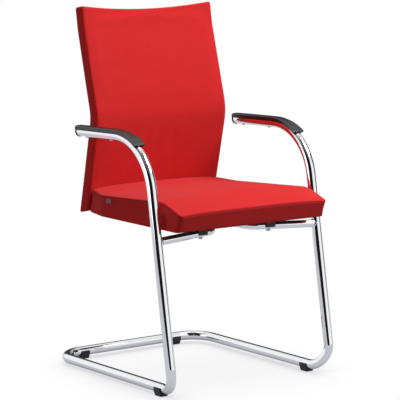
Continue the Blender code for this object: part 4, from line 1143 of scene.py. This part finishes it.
def seat_half_outline(inset):
    """Left half of the seat's plan, from the rear middle to the front middle."""
    middle = -SEAT_SPACING / 2
    rear = SEAT_REAR_Y - inset
    front = SEAT_FRONT_Y + inset
    half = SEAT_HALF_WIDTH - inset
    rear_half = SEAT_REAR_HALF_WIDTH - inset
    front_half = SEAT_FRONT_HALF_WIDTH - inset
    corners = [Vector((middle, rear, 0)), Vector((-rear_half, rear, 0)), Vector((-half, SEAT_TAPER_Y, 0)),
               Vector((-front_half, front, 0)), Vector((middle, front, 0))]
    radii = [SEAT_REAR_CORNER_RADIUS, SEAT_TAPER_RADIUS, SEAT_FRONT_CORNER_RADIUS]
    counts = SEAT_EDGE_COUNTS
    points = [corners[0]]
    for i, radius in enumerate(radii):
        limited = max(radius - inset, radius / 4)
        turn = arc(bend_at(corners[i], corners[i + 1], corners[i + 2], limited), SEAT_CORNER_STEPS)
        points += between(points[-1], turn[0], counts[i]) + turn
    points += between(points[-1], corners[-1], counts[-1])
    points.append(corners[-1])
    return points


def seat_outline(inset):
    """The seat's whole plan as a ring, rear middle to front middle and back on the right."""
    left = seat_half_outline(inset)
    return left + [Vector((-point.x, point.y, 0)) for point in reversed(left)]


def seat_top_height(x, y):
    """Crowned across, rising forward to a crest, then falling in the waterfall."""
    along = (SEAT_REAR_Y - y) / (SEAT_REAR_Y - SEAT_CREST_Y)
    height = mix(SEAT_REAR_HEIGHT, SEAT_CREST_HEIGHT, min(max(along, 0.0), 1.0))
    height += SEAT_REAR_RISE * smoothstep((y - SEAT_TAPER_Y) / (SEAT_REAR_Y - SEAT_TAPER_Y))
    fall = min(1.0, max(0.0, (SEAT_CREST_Y - y) / (SEAT_CREST_Y - SEAT_FRONT_Y)))
    height -= SEAT_WATERFALL_DROP * fall ** SEAT_WATERFALL_POWER
    flat = 1 - min(1.0, abs(x) / SEAT_FRONT_HALF_WIDTH) ** SEAT_CROWN_POWER
    return height + SEAT_CROWN * flat * (1 - fall / 2)


def back_front_y(x, z):
    """The y of the back's front face where the seat meets it."""
    point, normal = back_line(0.0)
    run = Vector((0, -normal.z, normal.y))
    depth = BACK_HOLLOW * (1 - (x / BACK_KINK_HALF_WIDTH) ** 2) - BACK_THICKNESS / 2
    start = point + normal * depth
    return start.y - SHIFT + run.y * (z - start.z) / run.z


def seat_place(x, y, z):
    """Leans the front face under, fits the rear to the back and pulls the sides in."""
    rise = (z - SEAT_BASE_HEIGHT) / (seat_top_height(x, y) - SEAT_BASE_HEIGHT)
    forward = smoothstep((SEAT_CREST_Y / 2 - y) / (SEAT_CREST_Y / 2 - SEAT_FRONT_Y))
    backward = smoothstep((y - SEAT_TAPER_Y / 2) / (SEAT_REAR_Y - SEAT_TAPER_Y / 2))
    target = back_front_y(x, z) - SEAT_BACK_GAP
    moved = y + SEAT_UNDERCUT * (1 - rise) * forward + (target - SEAT_REAR_Y) * backward
    draw_in = SEAT_SIDE_DRAW_IN * 4 * rise * (1 - rise)
    return Vector((x * (1 - draw_in / SEAT_HALF_WIDTH), moved + SHIFT, z))


# %% Rings of the seat
SEAT_LOW_EDGE_STEPS = 4
SEAT_WALL_STEPS = 8
SEAT_EDGE_STEPS = 5
SEAT_HEM = 0.018
SEAT_HEM_START = SEAT_BASE_EDGE_RADIUS * 1.6
SEAT_RECESS = 0.003                # the board behind the black liner


def seat_ring(inset, height):
    """A ring at an inset from the plan; height(x, y) says how high each of its points lies."""
    return [seat_place(p.x, p.y, height(p.x, p.y)) for p in seat_outline(inset)]


def seat_rings():
    """Rings from the hem under the board, out over the low edge, up the walls and over the top edge."""
    edge = SEAT_TOP_EDGE_RADIUS
    low = SEAT_BASE_EDGE_RADIUS
    base = SEAT_BASE_HEIGHT
    rings = [seat_ring(SEAT_HEM, lambda x, y: base + SEAT_RECESS),
             seat_ring(SEAT_HEM, lambda x, y: base),
             seat_ring(SEAT_HEM_START, lambda x, y: base)]
    for i in range(1, SEAT_LOW_EDGE_STEPS):
        angle = math.pi / 2 * i / SEAT_LOW_EDGE_STEPS
        lift = low * (1 - math.cos(angle))
        rings.append(seat_ring(low * (1 - math.sin(angle)), lambda x, y: base + lift))
    for i in range(SEAT_WALL_STEPS + 1):
        share = i / SEAT_WALL_STEPS
        rings.append(seat_ring(0.0, lambda x, y: mix(base + low, seat_top_height(x, y) - edge, share)))
    for i in range(1, SEAT_EDGE_STEPS + 1):
        angle = math.pi / 2 * i / SEAT_EDGE_STEPS
        drop = edge * (1 - math.sin(angle))
        rings.append(seat_ring(edge * (1 - math.cos(angle)), lambda x, y: seat_top_height(x, y) - drop))
    return rings


# %% Fill a ring with an even grid
def shares_along(points):
    """How far along a line each of its points lies, from 0 to 1."""
    lengths = [0.0]
    for first, second in zip(points, points[1:]):
        lengths.append(lengths[-1] + (second - first).length)
    return [length / lengths[-1] for length in lengths]


def fill_ring(builder, ring, outline, height):
    """Fills a ring of vertices with a grid between its four corners, blended from its four sides."""
    last = len(outline) - 1
    rear_corner = SEAT_EDGE_COUNTS[0] + (SEAT_CORNER_STEPS + 1) // 2
    front_corner = last // 2 - rear_corner
    rear = list(range(rear_corner, -1, -1)) + list(range(last, last - rear_corner - 1, -1))
    front = list(range(front_corner, last - front_corner + 1))
    left = list(range(rear_corner, front_corner + 1))
    right = [last - k for k in left]
    across = [(a + b) / 2 for a, b in zip(shares_along([outline[k] for k in rear]),
                                          shares_along([outline[k] for k in front]))]
    down = shares_along([outline[k] for k in left])
    rows = []
    for j, v in enumerate(down):
        row = []
        for i, u in enumerate(across):
            if j in (0, len(down) - 1):
                row.append(ring[(front if j else rear)[i]])
            elif i in (0, len(across) - 1):
                row.append(ring[(right if i else left)[j]])
            else:
                lengthways = outline[rear[i]].lerp(outline[front[i]], v)
                crossways = outline[left[j]].lerp(outline[right[j]], u)
                rear_side = outline[rear[0]].lerp(outline[rear[-1]], u)
                front_side = outline[front[0]].lerp(outline[front[-1]], u)
                p = lengthways + crossways - rear_side.lerp(front_side, v)
                row.append(builder.verts.new(seat_place(p.x, p.y, height(p.x, p.y))))
        rows.append(row)
    for upper, lower in zip(rows, rows[1:]):
        for i in range(len(upper) - 1):
            builder.faces.new((upper[i], upper[i + 1], lower[i + 1], lower[i]))


seat = skin_of_rings("red_seat", seat_rings(), close_end=False)
edit(seat)
builder = bmesh.from_edit_mesh(seat.data)
builder.verts.ensure_lookup_table()
top_outline = seat_outline(SEAT_TOP_EDGE_RADIUS)
fill_ring(builder, builder.verts[-len(top_outline):], top_outline, seat_top_height)
bmesh.update_edit_mesh(seat.data)
face_outwards(seat)
print("seat skin", len(seat.data.vertices), "vertices")

# %% Let the seat swell
SEAT_SWELL_CAP = 0.0028
SEAT_RIM_HELD = SEAT_TOP_EDGE_RADIUS + 0.003
SEAT_REAR_HELD = 0.035
CREST_HELD = 0.010
CREST_HOLD = 0.5
SEAM_INSET = SEAT_TOP_EDGE_RADIUS * 0.1
SEAM_DROP = SEAT_TOP_EDGE_RADIUS * 0.6


def seat_pin(place):
    """How firmly the cloth is held: fully on the sides and at the back, partly on the crest."""
    x, y, z = place.x, place.y - SHIFT, place.z
    past_taper = max(0.0, y - SEAT_TAPER_Y) / (SEAT_REAR_Y - SEAT_TAPER_Y)
    narrowing = (SEAT_HALF_WIDTH - SEAT_REAR_HALF_WIDTH) * past_taper
    inside = min(SEAT_HALF_WIDTH - narrowing - abs(x), y - SEAT_FRONT_Y)
    on_side = z < seat_top_height(x, y) - SEAT_TOP_EDGE_RADIUS / 2 or inside < SEAT_RIM_HELD
    if on_side or y > SEAT_REAR_Y - SEAT_REAR_HELD:
        return 1.0
    return CREST_HOLD if abs(y - SEAT_CREST_Y) < CREST_HELD else 0.0


swell(seat, seat_pin, SEAT_SWELL_CAP)
mark_seam(seat, seat_ring(SEAM_INSET, lambda x, y: seat_top_height(x, y) - SEAM_DROP))
cloth_map(seat)
smooth(seat, 60.0)
dress(seat, "red_seat", red_cloth)
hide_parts("seat_cover", "seat_foam")

# %% [markdown]
# ## The liner under the seat
#
# A thin black cloth is stretched and stapled over the underside of the board, inside the turned
# hem. It is made as one flat grid to the same plan, given a thickness and rounded at its rim.

# %% Liner
LINER_INSET = SEAT_HEM + 0.0006
LINER_LOW, LINER_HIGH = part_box("seat_underside")
LINER_RIM_RADIUS = 0.0003
print("liner from", round(LINER_LOW[2], 4), "to", round(LINER_HIGH[2], 4))


def liner_height(x, y):
    return LINER_LOW[2]


def make_liner():
    builder = bmesh.new()
    ring = [builder.verts.new(point) for point in seat_ring(LINER_INSET, liner_height)]
    fill_ring(builder, ring, seat_outline(LINER_INSET), liner_height)
    mesh = bpy.data.meshes.new("seat_liner")
    builder.to_mesh(mesh)
    builder.free()
    liner = add_piece("seat_liner", mesh)
    face_outwards(liner)
    flat_area = sum(polygon.area for polygon in liner.data.polygons)
    thickness = liner.modifiers.new("cloth", "SOLIDIFY")
    thickness.thickness = LINER_HIGH[2] - LINER_LOW[2]
    thickness.offset = 1.0 if liner.data.polygons[0].normal.z > 0 else -1.0
    rim = liner.modifiers.new("rim", "BEVEL")
    rim.width = LINER_RIM_RADIUS
    rim.limit_method = "ANGLE"
    apply_all(liner)
    return liner, flat_area


liner, liner_area = make_liner()
cloth_map(liner)
smooth(liner)
dress(liner, "seat_liner", liner_cloth)
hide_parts("seat_underside")

# %% [markdown]
# ## The floor
#
# The chair stands on a white sweep that melts into the backdrop, with only a pale, soft shadow
# under the seat. The camera therefore sees the floor as plain white with a painted shadow, darkened
# where the chair closes off the sky above it, which is what the Ambient Occlusion node measures. A
# mirror sees a light grey floor instead, with painted contact shade close to the chair's tubes and
# feet, which gives the chrome its silvery undersides, and for the light that bounces up from it the
# floor is a dull grey, so the underside of the seat stays dark.

# %% Floor
SHADOW_REACH = 0.75
SHADOW_LEAN = Vector((-0.10, 0.42, 0.9)).normalized()      # the part of the sky that makes the shadow
SHADOW_SAMPLES = 32
SHADOW_STOPS = ((0.30, (0.70, 0.70, 0.73)), (0.84, (1.0, 1.0, 1.0)))
CONTACT_REACH = 0.09
CONTACT_STOPS = ((0.15, (0.16, 0.16, 0.18)), (0.95, (0.62, 0.62, 0.66)))
# In mirrors the floor runs from grey into white towards the rear, where the arm tubes' sides look
REARWARD = (0.12, 0.99, 0.0)
GREY_UNTIL, WHITE_FROM = 1.2, 2.4
WHITENING = 1.6

clear_selection()
bpy.ops.mesh.primitive_plane_add(size=40.0, location=(0, 0, 0))
floor = bpy.context.object
floor.name = "studio_floor"
sweep = start_finish("white_sweep", (0.25, 0.24, 0.24), 0.0, 0.9, Specular_IOR_Level=0.0)
# The camera sees a painted shadow: plain white emission, darkened by ambient occlusion.
closed_off = add_node(sweep, "ShaderNodeAmbientOcclusion", Distance=SHADOW_REACH, Normal=SHADOW_LEAN)
closed_off.samples = SHADOW_SAMPLES
shadow = add_ramp(sweep, closed_off.outputs["AO"], SHADOW_STOPS)
seen_floor = add_node(sweep, "ShaderNodeEmission", shadow, 1.0)
# Mirrors see painted contact shade: the grey floor is darker close to the chair, by ambient occlusion.
close_by = add_node(sweep, "ShaderNodeAmbientOcclusion", Distance=CONTACT_REACH)
painted_contact_shade = add_ramp(sweep, close_by.outputs["AO"], CONTACT_STOPS)
rearward_reach = add_dot(sweep, place_source(sweep), REARWARD)
brighter = add_node(sweep, "ShaderNodeMapRange", rearward_reach, GREY_UNTIL, WHITE_FROM, 1.0, WHITENING)
mirrored_floor = add_node(sweep, "ShaderNodeEmission", painted_contact_shade, brighter.outputs["Result"])
floor_look = by_ray(sweep, shader_of(sweep).outputs["BSDF"], mirrored_floor.outputs["Emission"],
                    seen_floor.outputs["Emission"])
feed(sweep, sweep.node_tree.nodes["Material Output"], Surface=floor_look)
floor.data.materials.append(sweep)
print("floor made")

# %% [markdown]
# ## The lamps
#
# One large soft box, high in front and to the right, does nearly all the work: it falls fully on
# the seat's top and on the upper back, and only grazes what leans under. Two weak ones, overhead
# and on the left, keep the shaded sides from going black.

# %% Soft boxes
def soft_box(name, place, aim, size, power):
    bpy.ops.object.light_add(type="AREA", location=place)
    lamp = bpy.context.object
    lamp.name = name
    lamp.data.shape = "SQUARE"
    lamp.data.size = size
    lamp.data.energy = power
    lamp.rotation_euler = (Vector(aim) - Vector(place)).to_track_quat("-Z", "Y").to_euler()
    # In a mirror the box is plain white, no brighter, so that its edge stays smooth
    lamp.data.use_nodes = True
    in_mirror = add_node(lamp.data, "ShaderNodeLightPath").outputs["Is Glossy Ray"]
    plain_white = min(1.0, math.pi * size * size / power)
    strength = add_node(lamp.data, "ShaderNodeMapRange", in_mirror, 0.0, 1.0, 1.0, plain_white)
    feed(lamp.data, lamp.data.node_tree.nodes["Emission"], Strength=strength.outputs["Result"])


soft_box("front_box", (0.95, -1.25, 2.50), (0.0, 0.0, 0.75), 1.2, 65.0)
soft_box("top_box", (-0.2, 0.45, 3.1), (0.0, 0.0, 0.45), 2.0, 9.0)
soft_box("left_box", (-3.4, 0.2, 1.1), (0.0, 0.0, 0.50), 1.6, 11.0)
print("soft boxes made")

# %% [markdown]
# ## What the chrome sees
#
# A mirror shows the studio all round the chair, so the studio is painted on the world, for
# reflections alone. Going round from the camera there is the dark room behind it, which draws the
# black stripe down each leg, white walls on both sides, and a dark rear wall with a grey strip in
# it. Higher up it turns to grey in front and to white behind. The directions are fixed in the
# studio, so the stripes move over the tubes when the camera does, as they would.

# %% Paint the studio round the chair
TO_CAMERA = Vector((CAMERA_PLACE.x, CAMERA_PLACE.y, 0.0)).normalized()
TO_RIGHT = Vector((-TO_CAMERA.y, TO_CAMERA.x, 0.0))
# Turn from the camera's direction, in degrees to the right, and the grey seen there
WALLS = [(-180, 0.05), (-162, 0.07), (-150, 1.0), (-56, 1.0), (-49, 0.008), (22, 0.008), (30, 1.0),
         (90, 1.0), (96, 0.03), (134, 0.05), (142, 0.45), (158, 0.45), (168, 0.05)]
UPPER_WALLS = [(-180, 0.9), (-112, 0.95), (-70, 0.18), (58, 0.18), (96, 0.95), (176, 0.9)]
WALL_TOP, UPPER_START = math.radians(28), math.radians(56)     # above the horizon
BLUE_LIFT = 1.015
AMBIENT = 0.13
WHITE = (1.0, 1.0, 1.0, 1.0)


def painted(owner, walls, turn):
    """Greys round the studio, read by the turn as a share of the full circle."""
    stops = [((angle + 180) / 360, (grey, grey, grey * BLUE_LIFT)) for angle, grey in walls]
    return add_ramp(owner, turn, stops)


world = bpy.data.worlds.new("studio")
bpy.context.scene.world = world
world.use_nodes = True
world.node_tree.nodes.clear()
direction = place_source(world, "Generated")
turn = add_node(world, "ShaderNodeMath", add_dot(world, direction, TO_RIGHT),
                add_dot(world, direction, TO_CAMERA))
turn.operation = "ARCTAN2"
full_turn = add_node(world, "ShaderNodeMath", turn.outputs["Value"], 0.5 / math.pi, 0.5)
full_turn.operation = "MULTIPLY_ADD"
turn_share = full_turn.outputs["Value"]
height = add_node(world, "ShaderNodeMapRange", add_dot(world, direction, (0, 0, 1)), math.sin(WALL_TOP),
                  math.sin(UPPER_START))
height.interpolation_type = "SMOOTHSTEP"
studio = add_mix(world, "RGBA", height.outputs["Result"], painted(world, WALLS, turn_share),
                 painted(world, UPPER_WALLS, turn_share))
print("walls painted:", len(WALLS) + len(UPPER_WALLS), "stops")

# %% World
ambient = add_node(world, "ShaderNodeBackground", WHITE, AMBIENT)
mirrored = add_node(world, "ShaderNodeBackground", studio, 1.0)
backdrop = add_node(world, "ShaderNodeBackground", WHITE, 1.0)
surroundings = by_ray(world, *[node.outputs["Background"] for node in (ambient, mirrored, backdrop)])
add_node(world, "ShaderNodeOutputWorld", surroundings)
print("world made")
